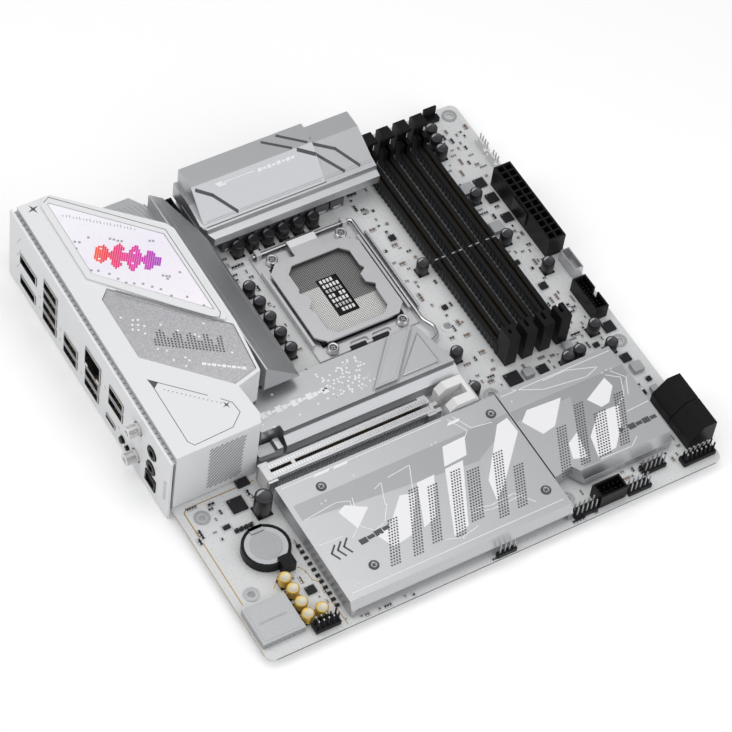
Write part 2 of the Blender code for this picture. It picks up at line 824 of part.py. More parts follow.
def build_pcie_slot():
    slot = add_part("pcie_slot", block((42.4, 131.4), (78.0, 86.8), (GAP, 11.0)), "silver")
    wings = [
        block((42.4, 47.2), (76.6, 88.2), (GAP, 10.4)),
        block((127.0, 131.4), (76.6, 88.2), (GAP, 10.4)),
        block((130.0, 136.6), (79.4, 85.4), (GAP, 6.0)),
    ]
    for wing in wings:
        unite(slot, wing)
    groove = (81.5, 83.3)
    cut(slot, together([block((46.0, 57.0), groove, (3.0, 12)), block((58.9, 138.0), groove, (3.0, 12))]))


def build_pcie_latch():
    section = [
        (137.2, 1.6),
        (140.6, 1.6),
        (141.8, 6.8),
        (153.4, 7.8),
        (154.0, 9.6),
        (151.6, 12.6),
        (141.4, 12.8),
        (137.8, 9.4),
    ]
    latch = add_part("pcie_latch", profile_along_y(section, (74.8, 90.0)), "white_plastic", (139.0, 82.4, 3.2))
    cut(latch, block((130, 149.6), (79.6, 85.2), (-1, 16)))


def build_m2_release_latch():
    section = [(45.6, 6.4), (47.4, 4.2), (59.0, 2.4), (59.0, 8.6), (56.2, 8.6), (55.0, 7.2), (46.4, 8.0)]
    add_part("m2_release_latch", profile_along_y(section, (92.8, 98.8)), "silver", (58.0, 95.8, 4.2))


def build_upper_m2_heatsink():
    main = [(51.2, 122.4), (51.2, 100.4), (60.8, 100.4), (60.8, 96.6), (152.4, 96.6), (146.6, 122.4)]
    sink = add_part("upper_m2_heatsink", slab([main], (GAP, 15.0)), "silver")
    lip = profile_along_x([[(98, 2.5), (98, 11.4), (96.4, 11.4), (92.6, 8.4), (92.6, 2.5)]], (60.8, 153.6))
    light_bar = slab([[(109.6, 97.4), (121.4, 97.4), (143.2, 121.8), (131.6, 121.8)]], (13, 17.6))
    unite(sink, lip)
    unite(sink, light_bar)
    cut(sink, block((50, 148), (98.2, 121.2), (-1, 5.2)))


def build_lower_m2_heatsink():
    sink = add_part("lower_m2_heatsink", block((43.6, 161.2), (3.6, 74.0), (0.9, 10.0)), "silver")
    edge = [(2, 11), (2, 5.0), (3.8, 5.0), (6.0, 10.2), (6.0, 11)]
    cut(sink, profile_along_x([edge], (40, 165)))
    cut(sink, block((46.0, 158.8), (2.0, 70.5), (-1, 4.9)))


def build_chipset_heatsink():
    outline = [
        (161.9, 74.0),
        (225.4, 74.0),
        (226.0, 60.4),
        (224.6, 16.6),
        (176.0, 16.6),
        (172.0, 23.2),
        (163.4, 21.6),
        (161.9, 21.6),
    ]
    sink = add_part("chipset_heatsink", slab([outline], (1.7, 10.0)), "silver")
    edge = [(14, 11), (14, 5.0), (16.8, 5.0), (19.4, 10.2), (19.4, 11)]
    cut(sink, profile_along_x([edge], (174.5, 230)))
    add_part("chipset", block((184.0, 208.0), (34.0, 58.0), (GAP, 1.4)), "black_plastic")


def build_m2_sockets():
    places = [(150.4, 9.6), (150.4, 45.4), (54.0, 99.3)]
    for number, (x, y) in enumerate(places, 1):
        socket = add_part(f"m2_socket_{number}", block((x, x + 6.0), (y, y + 21.4), (GAP, 3.9)), "black_plastic")
        mouth = (x - 1, x + 3.0) if number < 3 else (x + 3.0, x + 7)
        cut(socket, block(mouth, (y + 0.8, y + 20.6), (1.9, 3.1)))


# Battery, audio and headers

CELL_CENTRE = (27.0, 51.5)
CELL_RADIUS = 10.0


def build_battery():
    base = rod("Z", CELL_CENTRE, 11.5, (GAP, 4.9), 32)
    holder = add_part("battery_holder", base, "black_plastic")
    unite(holder, block((27.6, 34.2), (36.6, 42.6), (GAP, 7.0)))
    cut(holder, rod("Z", CELL_CENTRE, CELL_RADIUS + 0.4, (1.2, 5.1), 32))
    cell = add_part("coin_cell", rod("Z", CELL_CENTRE, CELL_RADIUS, (1.5, 4.7), 32), "steel")
    shade_round(cell)


def build_audio():
    lid = add_part("audio_shield", block((1.0, 22.4), (6.9, 27.4), (GAP, 3.6)), "grey_can")
    cut(lid, block((1.4, 22.0), (7.3, 27.0), (-1, 3.2)))
    add_part("audio_codec", block((8.0, 15.0), (13.5, 20.5), (GAP, 1.3)), "black_plastic")


def pins(x0, y0, columns, rows, pitch, z):
    half = 0.32
    return together([
        block(
            (x0 + i * pitch - half, x0 + i * pitch + half),
            (y0 + j * pitch - half, y0 + j * pitch + half),
            z,
        )
        for i in range(columns)
        for j in range(rows)
    ])


def build_pin_header(name, x0, y0, columns, rows, pitch=2.54):
    x = (x0 - pitch / 2, x0 + (columns - 0.5) * pitch)
    y = (y0 - pitch / 2, y0 + (rows - 0.5) * pitch)
    header = add_part(name, block(x, y, (GAP, 2.8)), "black_plastic")
    unite(header, pins(x0, y0, columns, rows, pitch, (2.0, 8.6)))


def build_headers():
    build_pin_header("front_panel_header", 225.4, 5.2, 7, 2)
    build_pin_header("front_audio_header", 26.8, 4.0, 5, 2)
    box = add_part("usb_2_header", block((175.6, 190.2), (2.6, 10.8), (GAP, 8.8)), "black_plastic")
    cut(box, block((176.5, 189.3), (3.5, 9.9), (1.6, 10)))
    unite(box, pins(177.82, 5.43, 5, 2, 2.54, (1.0, 7.4)))
    fan = add_part("cpu_fan_header", block((220.9, 231.1), (236.6, 239.8), (GAP, 3.0)), "black_plastic")
    unite(fan, block((222.4, 229.6), (239.0, 240.2), (GAP, 9.6)))


build_pcb()
build_socket_backplate()
build_socket_housing()
build_socket_frame()
build_load_plate()
build_load_lever()
build_socket_screws()
build_top_heatsink()
build_rear_heatsink()
build_io_cover()
build_io_light_panel()
build_io_inlay_plate()
build_rear_panel()
build_rear_sockets()
build_audio_stack()
build_antenna_sockets()
build_rear_buttons()
build_memory()
build_power_connectors()
build_front_connectors()
build_sata_sockets()
build_pcie_slot()
build_pcie_latch()
build_m2_release_latch()
build_upper_m2_heatsink()
build_lower_m2_heatsink()
build_chipset_heatsink()
build_m2_sockets()
build_battery()
build_audio()
build_headers()
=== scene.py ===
import math
import random

import bmesh
import bpy
from mathutils import Matrix, Vector


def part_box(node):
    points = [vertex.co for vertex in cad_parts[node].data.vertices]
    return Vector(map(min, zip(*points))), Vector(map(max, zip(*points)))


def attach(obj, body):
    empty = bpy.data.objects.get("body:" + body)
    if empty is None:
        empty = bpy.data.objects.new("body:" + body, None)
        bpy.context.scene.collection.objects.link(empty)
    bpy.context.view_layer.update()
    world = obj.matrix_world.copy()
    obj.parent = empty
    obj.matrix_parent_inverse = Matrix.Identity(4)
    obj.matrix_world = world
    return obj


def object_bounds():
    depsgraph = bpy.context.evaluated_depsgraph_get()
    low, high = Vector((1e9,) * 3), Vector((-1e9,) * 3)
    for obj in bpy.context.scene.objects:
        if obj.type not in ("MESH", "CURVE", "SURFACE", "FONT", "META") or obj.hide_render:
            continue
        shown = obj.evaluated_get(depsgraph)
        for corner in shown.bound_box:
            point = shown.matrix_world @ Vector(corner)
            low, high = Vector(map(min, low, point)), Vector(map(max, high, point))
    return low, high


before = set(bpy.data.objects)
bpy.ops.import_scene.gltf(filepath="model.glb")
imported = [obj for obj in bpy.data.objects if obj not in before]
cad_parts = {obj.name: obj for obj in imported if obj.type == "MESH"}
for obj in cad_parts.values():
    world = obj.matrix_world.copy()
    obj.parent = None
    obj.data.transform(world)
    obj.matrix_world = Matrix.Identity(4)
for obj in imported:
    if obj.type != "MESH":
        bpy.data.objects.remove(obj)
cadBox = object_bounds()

# Everything below is written in the board's own millimetres: X from the rear panel edge to the
# memory side, Y from the slot side to the power stages, Z from the board's upper face.
boardLow, boardHigh = (Vector(corner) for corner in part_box("pcb"))
padStep = 0.00025
boardCorner = Vector((boardLow.x, boardLow.y, boardHigh.z - padStep))
mm = 0.001
dice = random.Random(7)


def toWorld(x, y, z):
    return boardCorner + Vector((x, y, z)) * mm


# Materials

finishes = {
    "maskColour": (0.66, 0.665, 0.665),
    "coverColour": (0.78, 0.785, 0.79),
    "silverColour": (0.50, 0.505, 0.515),
    "blackColour": (0.006, 0.006, 0.007),
    "steelColour": (0.50, 0.50, 0.51),
    "goldColour": (0.78, 0.55, 0.22),
    "inkColour": (0.07, 0.072, 0.078),
}


def newMaterial(name, colour, roughness, metallic=0.0):
    material = bpy.data.materials.new(name)
    material.use_nodes = True
    shader = material.node_tree.nodes["Principled BSDF"]
    shader.inputs["Base Color"].default_value = (*colour, 1.0)
    shader.inputs["Roughness"].default_value = roughness
    shader.inputs["Metallic"].default_value = metallic
    return material, shader


def addNode(tree, kind, **values):
    node = tree.nodes.new(kind)
    for key, value in values.items():
        setattr(node, key, value)
    return node


def mathNode(tree, operation, a, b=None):
    node = addNode(tree, "ShaderNodeMath", operation=operation)
    for socket, value in zip(node.inputs, (a, b)):
        if value is None:
            continue
        if isinstance(value, (int, float)):
            socket.default_value = value
        else:
            tree.links.new(value, socket)
    return node.outputs[0]


# Object coordinates as board millimetres, stretched per axis.
def boardVector(tree, stretch=(1.0, 1.0, 1.0)):
    coords = addNode(tree, "ShaderNodeTexCoord")
    mapping = addNode(tree, "ShaderNodeMapping")
    for axis in range(3):
        mapping.inputs["Scale"].default_value[axis] = 1000 * stretch[axis]
        mapping.inputs["Location"].default_value[axis] = -1000 * boardCorner[axis] * stretch[axis]
    tree.links.new(coords.outputs["Object"], mapping.inputs["Vector"])
    return mapping.outputs["Vector"]


# Fine surface grain: a mask from 0 to 1 around 0.5, and a bumped normal.
def makeGrainGroup():
    group = bpy.data.node_groups.new("fineGrain", "ShaderNodeTree")
    face = group.interface
    face.new_socket("Vector", in_out="INPUT", socket_type="NodeSocketVector")
    for name, value in (("Scale", 1.0), ("Detail", 3.0), ("Height", 0.1)):
        face.new_socket(name, in_out="INPUT", socket_type="NodeSocketFloat").default_value = value
    face.new_socket("Mask", in_out="OUTPUT", socket_type="NodeSocketFloat")
    face.new_socket("Normal", in_out="OUTPUT", socket_type="NodeSocketVector")
    inlet = addNode(group, "NodeGroupInput")
    outlet = addNode(group, "NodeGroupOutput")
    noise = addNode(group, "ShaderNodeTexNoise")
    bump = addNode(group, "ShaderNodeBump")
    bump.inputs["Distance"].default_value = 0.0001
    group.links.new(inlet.outputs["Vector"], noise.inputs["Vector"])
    group.links.new(inlet.outputs["Scale"], noise.inputs["Scale"])
    group.links.new(inlet.outputs["Detail"], noise.inputs["Detail"])
    group.links.new(inlet.outputs["Height"], bump.inputs["Strength"])
    group.links.new(noise.outputs["Fac"], bump.inputs["Height"])
    group.links.new(noise.outputs["Fac"], outlet.inputs["Mask"])
    group.links.new(bump.outputs["Normal"], outlet.inputs["Normal"])
    return group


# Round dots on a square grid in X and Y, kept where a slow noise passes a threshold.
def makeDotGroup():
    group = bpy.data.node_groups.new("dotGrid", "ShaderNodeTree")
    face = group.interface
    face.new_socket("Vector", in_out="INPUT", socket_type="NodeSocketVector")
    for name, value in (("Pitch", 1.0), ("Radius", 0.3), ("Cover", 1.0), ("Cluster", 0.1)):
        face.new_socket(name, in_out="INPUT", socket_type="NodeSocketFloat").default_value = value
    face.new_socket("Mask", in_out="OUTPUT", socket_type="NodeSocketFloat")
    inlet = addNode(group, "NodeGroupInput")
    outlet = addNode(group, "NodeGroupOutput")
    split = addNode(group, "ShaderNodeSeparateXYZ")
    group.links.new(inlet.outputs["Vector"], split.inputs[0])
    pitch = inlet.outputs["Pitch"]
    squares = []
    cells = []
    for axis in "XY":
        steps = mathNode(group, "DIVIDE", split.outputs[axis], pitch)
        cells.append(mathNode(group, "FLOOR", steps))
        away = mathNode(group, "SUBTRACT", mathNode(group, "FRACT", steps), 0.5)
        squares.append(mathNode(group, "MULTIPLY", away, away))
    distance = mathNode(group, "SQRT", mathNode(group, "ADD", *squares))
    dot = mathNode(group, "LESS_THAN", distance, inlet.outputs["Radius"])
    cellPlace = addNode(group, "ShaderNodeCombineXYZ")
    group.links.new(cells[0], cellPlace.inputs[0])
    group.links.new(cells[1], cellPlace.inputs[1])
    cluster = addNode(group, "ShaderNodeTexNoise")
    cluster.inputs["Detail"].default_value = 1.0
    group.links.new(cellPlace.outputs[0], cluster.inputs["Vector"])
    group.links.new(inlet.outputs["Cluster"], cluster.inputs["Scale"])
    kept = mathNode(group, "LESS_THAN", cluster.outputs["Fac"], inlet.outputs["Cover"])
    group.links.new(mathNode(group, "MULTIPLY", dot, kept), outlet.inputs["Mask"])
    return group


grainGroup = makeGrainGroup()
dotGroup = makeDotGroup()


def rampNode(tree, factor, stops):
    ramp = addNode(tree, "ShaderNodeValToRGB")
    elements = ramp.color_ramp.elements
    while len(elements) < len(stops):
        elements.new(0.5)
    for element, (position, colour) in zip(elements, stops):
        element.position = position
        element.color = (*colour, 1.0)
    tree.links.new(factor, ramp.inputs["Fac"])
    return ramp.outputs["Color"]


def mixColours(tree, factor, first, second):
    mix = addNode(tree, "ShaderNodeMix", data_type="RGBA")
    tree.links.new(factor, mix.inputs["Factor"])
    for socket, value in ((mix.inputs["A"], first), (mix.inputs["B"], second)):
        if isinstance(value, tuple):
            socket.default_value = (*value, 1.0)
        else:
            tree.links.new(value, socket)
    return mix.outputs["Result"]


def shade(colour, by):
    return tuple(min(1.0, channel * by) for channel in colour)


# One base colour with fine variation in colour, roughness and height.
def grainedMaterial(
    name, colour, roughness, metallic=0.0, grain=6.0, stretch=(1, 1, 1), height=0.12, spread=0.08,
    tone=0.06, shine=0.5,
):
    material, shader = newMaterial(name, colour, roughness, metallic)
    shader.inputs["Specular IOR Level"].default_value = shine
    tree = material.node_tree
    effect = addNode(tree, "ShaderNodeGroup", node_tree=grainGroup)
    tree.links.new(boardVector(tree, stretch), effect.inputs["Vector"])
    effect.inputs["Scale"].default_value = grain
    effect.inputs["Height"].default_value = height
    mask = effect.outputs["Mask"]
    colours = rampNode(tree, mask, [(0.3, shade(colour, 1 - tone)), (0.7, shade(colour, 1 + tone))])
    tree.links.new(colours, shader.inputs["Base Color"])
    low = mathNode(tree, "MULTIPLY", mask, 2 * spread)
    tree.links.new(mathNode(tree, "ADD", low, roughness - spread), shader.inputs["Roughness"])
    tree.links.new(effect.outputs["Normal"], shader.inputs["Normal"])
    return material, shader, colours


# The same, where only the material itself is wanted.
def grained(*values, **options):
    return grainedMaterial(*values, **options)[0]


# A grained base with a printed grid of dots.
def printedMaterial(name, colour, ink, roughness, metallic, grain, dots):
    material, shader, colours = grainedMaterial(name, colour, roughness, metallic, grain)
    tree = material.node_tree
    effect = addNode(tree, "ShaderNodeGroup", node_tree=dotGroup)
    tree.links.new(boardVector(tree), effect.inputs["Vector"])
    for key, value in dots.items():
        effect.inputs[key].default_value = value
    tree.links.new(
        mixColours(tree, effect.outputs["Mask"], colours, ink), shader.inputs["Base Color"],
    )
    return material


# White mask over copper: faint raised tracks, and tiny tented holes.
def makeSolderMask():
    colour = finishes["maskColour"]
    material, shader, colours = grainedMaterial(
        "solderMask", colour, 0.42, 0.0, 1.5, height=0.05, tone=0.02,
    )
    tree = material.node_tree
    tracks = addNode(tree, "ShaderNodeTexBrick", offset=0.37, squash=1.0)
    tracks.inputs["Scale"].default_value = 1.0
    tracks.inputs["Mortar Size"].default_value = 0.09
    tracks.inputs["Mortar Smooth"].default_value = 0.2
    tracks.inputs["Brick Width"].default_value = 9.0
    tracks.inputs["Row Height"].default_value = 0.9
    tree.links.new(boardVector(tree), tracks.inputs["Vector"])
    regions = addNode(tree, "ShaderNodeTexNoise")
    regions.inputs["Scale"].default_value = 0.05
    tree.links.new(boardVector(tree), regions.inputs["Vector"])
    wanted = mathNode(tree, "GREATER_THAN", regions.outputs["Fac"], 0.52)
    track = mathNode(tree, "MULTIPLY", tracks.outputs["Fac"], wanted)
    vias = addNode(tree, "ShaderNodeGroup", node_tree=dotGroup)
    tree.links.new(boardVector(tree), vias.inputs["Vector"])
    for key, value in {"Pitch": 2.3, "Radius": 0.11, "Cover": 0.5, "Cluster": 0.9}.items():
        vias.inputs[key].default_value = value
    tracked = mixColours(tree, mathNode(tree, "MULTIPLY", track, 0.6), colours, shade(colour, 0.86))
    dotted = mixColours(
        tree, mathNode(tree, "MULTIPLY", vias.outputs["Mask"], 0.7), tracked, shade(colour, 0.6),
    )
    tree.links.new(dotted, shader.inputs["Base Color"])
    bump = addNode(tree, "ShaderNodeBump")
    bump.inputs["Strength"].default_value = 0.25
    bump.inputs["Distance"].default_value = 0.00005
    tree.links.new(track, bump.inputs["Height"])
    tree.links.new(bump.outputs["Normal"], shader.inputs["Normal"])
    return material


# The diffuser: pale lilac to white, with scattered faint squares and a faint painted glow.
def makeLitPanel():
    material, shader = newMaterial("paintedGlowPanel", (0.86, 0.84, 0.88), 0.28)
    tree = material.node_tree
    vector = boardVector(tree)
    split = addNode(tree, "ShaderNodeSeparateXYZ")
    tree.links.new(vector, split.inputs[0])
    along = mathNode(tree, "DIVIDE", mathNode(tree, "SUBTRACT", split.outputs["Y"], 155.0), 90.0)
    base = rampNode(
        tree, along,
        [(0.0, (0.90, 0.86, 0.90)), (0.5, (0.84, 0.80, 0.88)), (1.0, (0.90, 0.90, 0.93))],
    )
    squares = addNode(tree, "ShaderNodeGroup", node_tree=dotGroup)
    tree.links.new(vector, squares.inputs["Vector"])
    for key, value in {"Pitch": 1.3, "Radius": 0.3, "Cover": 0.36, "Cluster": 0.4}.items():
        squares.inputs[key].default_value = value
    layers = mixColours(tree, squares.outputs["Mask"], base, (0.78, 0.76, 0.82))
    tree.links.new(layers, shader.inputs["Base Color"])
    # Painted glow: a faint emission in the panel's own colours brightens it.
    tree.links.new(layers, shader.inputs["Emission Color"])
    shader.inputs["Emission Strength"].default_value = 0.04
    shader.inputs["Coat Weight"].default_value = 0.4
    return material


# Metal foil of small flakes, each with its own tone.
def makeSpeckledFoil():
    material, shader = newMaterial("speckledFoil", (0.4, 0.4, 0.42), 0.34, 0.75)
    tree = material.node_tree
    vector = boardVector(tree)
    flakes = addNode(tree, "ShaderNodeTexVoronoi")
    flakes.inputs["Scale"].default_value = 2.6
    tree.links.new(vector, flakes.inputs["Vector"])
    glint = rampNode(
        tree, flakes.outputs["Color"],
        [(0.15, (0.34, 0.34, 0.355)), (0.6, (0.42, 0.42, 0.435)), (0.95, (0.52, 0.52, 0.54))],
    )
    tree.links.new(glint, shader.inputs["Base Color"])
    rough = mathNode(tree, "ADD", mathNode(tree, "MULTIPLY", flakes.outputs["Distance"], 0.2), 0.25)
    tree.links.new(rough, shader.inputs["Roughness"])
    return material


# Small squares that run from orange through red and magenta to violet, with a faint painted glow.
def makeEmblem():
    material, shader = newMaterial("emblemSquares", (0.9, 0.1, 0.3), 0.3)
    tree = material.node_tree
    split = addNode(tree, "ShaderNodeSeparateXYZ")
    tree.links.new(boardVector(tree), split.inputs[0])
    slant = mathNode(
        tree, "SUBTRACT", split.outputs["X"], mathNode(tree, "MULTIPLY", split.outputs["Y"], 0.55),
    )
    factor = mathNode(tree, "DIVIDE", mathNode(tree, "ADD", slant, 103.0), 50.0)
    stops = [
        (0.0, (0.95, 0.28, 0.03)), (0.3, (0.85, 0.03, 0.06)), (0.62, (0.70, 0.02, 0.35)),
        (1.0, (0.25, 0.04, 0.62)),
    ]
    colours = rampNode(tree, factor, stops)
    tree.links.new(colours, shader.inputs["Base Color"])
    # Painted glow: a faint emission in the squares' own colours.
    tree.links.new(colours, shader.inputs["Emission Color"])
    shader.inputs["Emission Strength"].default_value = 0.08
    return material


steel = finishes["steelColour"]
silver = finishes["silverColour"]
black = finishes["blackColour"]
gold = finishes["goldColour"]
solderMask = makeSolderMask()
paintedGlowPanel = makeLitPanel()
speckledFoil = makeSpeckledFoil()
emblemSquares = makeEmblem()
coverWhite = grained("coverWhite", finishes["coverColour"], 0.42, 0.0, 9.0, height=0.10, tone=0.02)
satinSilver = grained("satinSilver", silver, 0.36, 0.85, 5.0, height=0.10, tone=0.05)
satinSteel = grained(
    "satinSteel", shade(steel, 1.16), 0.34, 0.9, 0.8, height=0.01, spread=0.03, tone=0.02,
)
brushedSilver = grained(
    "brushedSilver", shade(silver, 1.08), 0.30, 0.9, 3.0, (0.06, 2.2, 1.0), 0.14,
)
nickelSteel = grained("nickelSteel", steel, 0.28, 1.0, 2.0, (0.2, 1.6, 1.0), 0.03)
polishedSteel = grained(
    "polishedSteel", shade(steel, 1.05), 0.18, 1.0, 0.5, height=0.015, spread=0.05,
)
blackMoulding = grained("blackMoulding", black, 0.40, 0.0, 5.0, height=0.10, tone=0.25, shine=0.16)
blackGloss = grained(
    "blackGloss", shade(black, 0.9), 0.28, 0.0, 3.0, height=0.05, tone=0.2, shine=0.22,
)
whiteMoulding = grained("whiteMoulding", (0.78, 0.78, 0.77), 0.45, 0.0, 6.0, height=0.08, tone=0.03)
chipEpoxy = grained(
    "chipEpoxy", (0.016, 0.016, 0.018), 0.5, 0.0, 12.0, height=0.18, tone=0.3, shine=0.2,
)
goldPlate = grained("goldPlate", gold, 0.26, 1.0, 6.0, height=0.06, tone=0.1)
tinSolder = grained("tinSolder", (0.55, 0.56, 0.58), 0.34, 0.9, 8.0, height=0.2, tone=0.15)
dullTin = grained("dullTin", (0.42, 0.43, 0.44), 0.42, 0.7, 2.0, height=0.06, tone=0.08)
chokeFerrite = grained("chokeFerrite", (0.10, 0.10, 0.105), 0.55, 0.1, 7.0, height=0.2, tone=0.2)
ceramicBrown = grained("ceramicBrown", (0.20, 0.13, 0.08), 0.5, 0.0, 10.0, height=0.1, tone=0.15)
inkDark = grained("inkDark", finishes["inkColour"], 0.5, 0.0, 8.0, height=0.04, tone=0.1)
inkGrey = grained("inkGrey", (0.36, 0.37, 0.39), 0.45, 0.2, 8.0, height=0.04, tone=0.06)
inkWhite = grained("inkWhite", (0.86, 0.86, 0.87), 0.45, 0.0, 8.0, height=0.04, tone=0.02)
isolationGold = grained("isolationGold", (0.42, 0.28, 0.10), 0.4, 0.4, 6.0, height=0.05, tone=0.12)
contactField = printedMaterial(
    "contactField", (0.16, 0.16, 0.16), (0.80, 0.79, 0.77), 0.45, 0.2, 8.0,
    {"Pitch": 0.88, "Radius": 0.42, "Cover": 2.0, "Cluster": 0.1},
)
# A darker copy of contactField: painted shade for the far part of the contact bed.
contactPaintedShade = printedMaterial(
    "contactPaintedShade", (0.04, 0.04, 0.042), (0.30, 0.30, 0.29), 0.45, 0.2, 8.0,
    {"Pitch": 0.88, "Radius": 0.36, "Cover": 2.0, "Cluster": 0.1},
)
print("materials ready")

# Making pieces


def addBox(shape, x, y, z, slot=0):
    size = Vector((x[1] - x[0], y[1] - y[0], z[1] - z[0]))
    middle = Vector((x[0] + x[1], y[0] + y[1], z[0] + z[1])) / 2
    made = bmesh.ops.create_cube(shape, size=1.0, matrix=Matrix.LocRotScale(middle, None, size))
    for face in {face for vertex in made["verts"] for face in vertex.link_faces}:
        face.material_index = slot
    return made["verts"]


# An upright prism on a convex or simple outline of X and Y.
def addPrism(shape, points, z, slot=0):
    low = [shape.verts.new((x, y, z[0])) for x, y in points]
    high = [shape.verts.new((x, y, z[1])) for x, y in points]
    count = len(points)
    faces = [shape.faces.new(low[::-1]), shape.faces.new(high)]
    for k in range(count):
        faces.append(
            shape.faces.new((low[k], low[(k + 1) % count], high[(k + 1) % count], high[k]))
        )
    for face in faces:
        face.material_index = slot
    return low + high


# Rings of (radius, height) turned round an upright axis; radius 0 closes an end.
def addTurned(shape, x, y, profile, slots=0, sides=28, axis="Z", z=0.0):
    rings = []
    for radius, height in profile:
        if radius == 0:
            rings.append([shape.verts.new((0, 0, height))])
            continue
        step = 2 * math.pi / sides
        rings.append([
            shape.verts.new((radius * math.cos(k * step), radius * math.sin(k * step), height))
            for k in range(sides)
        ])
    for index, (lower, upper) in enumerate(zip(rings, rings[1:])):
        slot = slots[index] if isinstance(slots, (list, tuple)) else slots
        for k in range(sides):
            corners = [
                lower[k % len(lower)], lower[(k + 1) % len(lower)], upper[(k + 1) % len(upper)],
                upper[k % len(upper)],
            ]
            unique = list(dict.fromkeys(corners))
            shape.faces.new(unique).material_index = slot
    verts = [vertex for ring in rings for vertex in ring]
    turn = {"Z": Matrix.Identity(4), "X": Matrix.Rotation(math.pi / 2, 4, "Y")}[axis]
    bmesh.ops.transform(shape, matrix=Matrix.Translation((x, y, z)) @ turn, verts=verts)
    return verts


# Board millimetres to world metres, then bevel, materials and the frame's bookkeeping.
def finishPiece(
    name, shape, materials, body="board", bevel=0.0, smooth=True, segments=2,
):
    bmesh.ops.recalc_face_normals(shape, faces=shape.faces)
    bmesh.ops.scale(shape, vec=(mm, mm, mm), verts=shape.verts)
    bmesh.ops.translate(shape, vec=boardCorner, verts=shape.verts)
    mesh = bpy.data.meshes.new(name)
    shape.to_mesh(mesh)
    shape.free()
    for material in materials:
        mesh.materials.append(material)
    piece = bpy.data.objects.new(name, mesh)
    bpy.context.scene.collection.objects.link(piece)
    dressPiece(piece, bevel, smooth, segments)
    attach(piece, body)
    return piece


def dressPiece(piece, bevel, smooth=True, segments=2):
    if bevel:
        modifier = piece.modifiers.new("softEdge", "BEVEL")
        modifier.width = bevel * mm
        modifier.segments = segments
        modifier.limit_method = "ANGLE"
        modifier.angle_limit = math.radians(32)
    if smooth:
        piece.data.shade_smooth()
        piece.data.set_sharp_from_angle(angle=math.radians(34))


# CAD pieces that keep their shape

cadFinishes = {
    "pcb": (solderMask, 0.12),
    "socket_backplate": (nickelSteel, 0.2),
    "socket_frame": (satinSteel, 0.15),
    "load_plate": (satinSteel, 0.22),
    "load_lever": (polishedSteel, 0.0),
    "io_cover": (coverWhite, 0.45),
    "io_light_panel": (paintedGlowPanel, 0.12),
    "io_inlay_plate": (speckledFoil, 0.12),
    "rear_panel": (coverWhite, 0.12),
    "top_vrm_heatsink": (satinSilver, 0.35),
    "rear_vrm_heatsink": (satinSilver, 0.4),
    "upper_m2_heatsink": (satinSilver, 0.35),
    "lower_m2_heatsink": (satinSilver, 0.35),
    "chipset_heatsink": (satinSilver, 0.35),
    "m2_release_latch": (brushedSilver, 0.25),
    "pcie_latch": (whiteMoulding, 0.35),
    "coin_cell": (dullTin, 0.25),
    "audio_shield": (dullTin, 0.35),
    "displayport_socket": (polishedSteel, 0.2),
    "hdmi_socket": (polishedSteel, 0.2),
    "usb_quad_socket": (polishedSteel, 0.2),
    "usb_pair_socket_a": (polishedSteel, 0.2),
    "usb_pair_socket_b": (polishedSteel, 0.2),
    "lan_usb_socket": (polishedSteel, 0.2),
    "rear_usb_c_socket": (polishedSteel, 0.2),
    "front_usb_c_socket": (polishedSteel, 0.3),
    "antenna_socket_1": (whiteMoulding, 0.3),
    "antenna_socket_2": (whiteMoulding, 0.3),
    "pcie_slot": (brushedSilver, 0.25),
}


# Each CAD piece keeps its mesh and gets its finish and a soft edge.
def dressCadPieces():
    for name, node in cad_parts.items():
        material, bevel = cadFinishes.get(name, (blackMoulding, 0.2))
        if name.startswith("socket_screw"):
            material, bevel = polishedSteel, 0.3
        node.data.materials.clear()
        node.data.materials.append(material)
        dressPiece(node, bevel)


dressCadPieces()
print("frame dressed")

# Thin print and trim on flat faces

xAxis = Vector((1, 0, 0))
yAxis = Vector((0, 1, 0))
zAxis = Vector((0, 0, 1))
roofSlope = 3.6 / 158.0
roofFoot = 39.0 - roofSlope * 89.5


def levelPlane(height):
    return Vector((0, 0, height)), xAxis, yAxis


# Level along X and rising along Y; height is at Y = 0.
def slopePlane(height, rise):
    return Vector((0, 0, height)), xAxis, Vector((0, 1, rise))


def roofPlane(lift):
    return slopePlane(roofFoot + lift, roofSlope)


# A thin raised patch on a plane, sunk a little so that it never floats.
def addPatch(shape, plane, points, slot=0, thick=0.05, sink=0.02):
    origin, across, along = plane
    normal = across.cross(along).normalized()
    low = [shape.verts.new(origin + across * u + along * v - normal * sink) for u, v in points]
    high = [shape.verts.new(vertex.co + normal * (thick + sink)) for vertex in low]
    count = len(points)
    faces = [shape.faces.new(low[::-1]), shape.faces.new(high)]
    faces += [
        shape.faces.new((low[k], low[(k + 1) % count], high[(k + 1) % count], high[k]))
        for k in range(count)
    ]
    for face in faces:
        face.material_index = slot


# A line of even width through points on a plane.
def addStroke(shape, plane, points, width, slot=0, thick=0.05):
    for start, end in zip(points, points[1:]):
        start, end = Vector(start), Vector(end)
        ahead = (end - start).normalized()
        side = Vector((-ahead.y, ahead.x)) * width / 2
        start, end = start - ahead * width / 4, end + ahead * width / 4
        addPatch(shape, plane, [start - side, end - side, end + side, start + side], slot, thick)


def addSquare(shape, plane, u, v, size, turn=0.0, slot=0, thick=0.05):
    half = size / 2
    corners = ((-half, -half), (half, -half), (half, half), (-half, half))
    cos, sin = math.cos(turn), math.sin(turn)
    addPatch(
        shape, plane, [(u + a * cos - b * sin, v + a * sin + b * cos) for a, b in corners], slot,
        thick,
    )


# A small four-pointed glint.
def addSpark(shape, plane, u, v, size, slot=0):
    points = []
    for k in range(8):
        reach = size if k % 2 == 0 else size * 0.24
        angle = k * math.pi / 4 + 0.3
        points.append((u + reach * math.cos(angle), v + reach * math.sin(angle)))
    addPatch(shape, plane, points, slot)


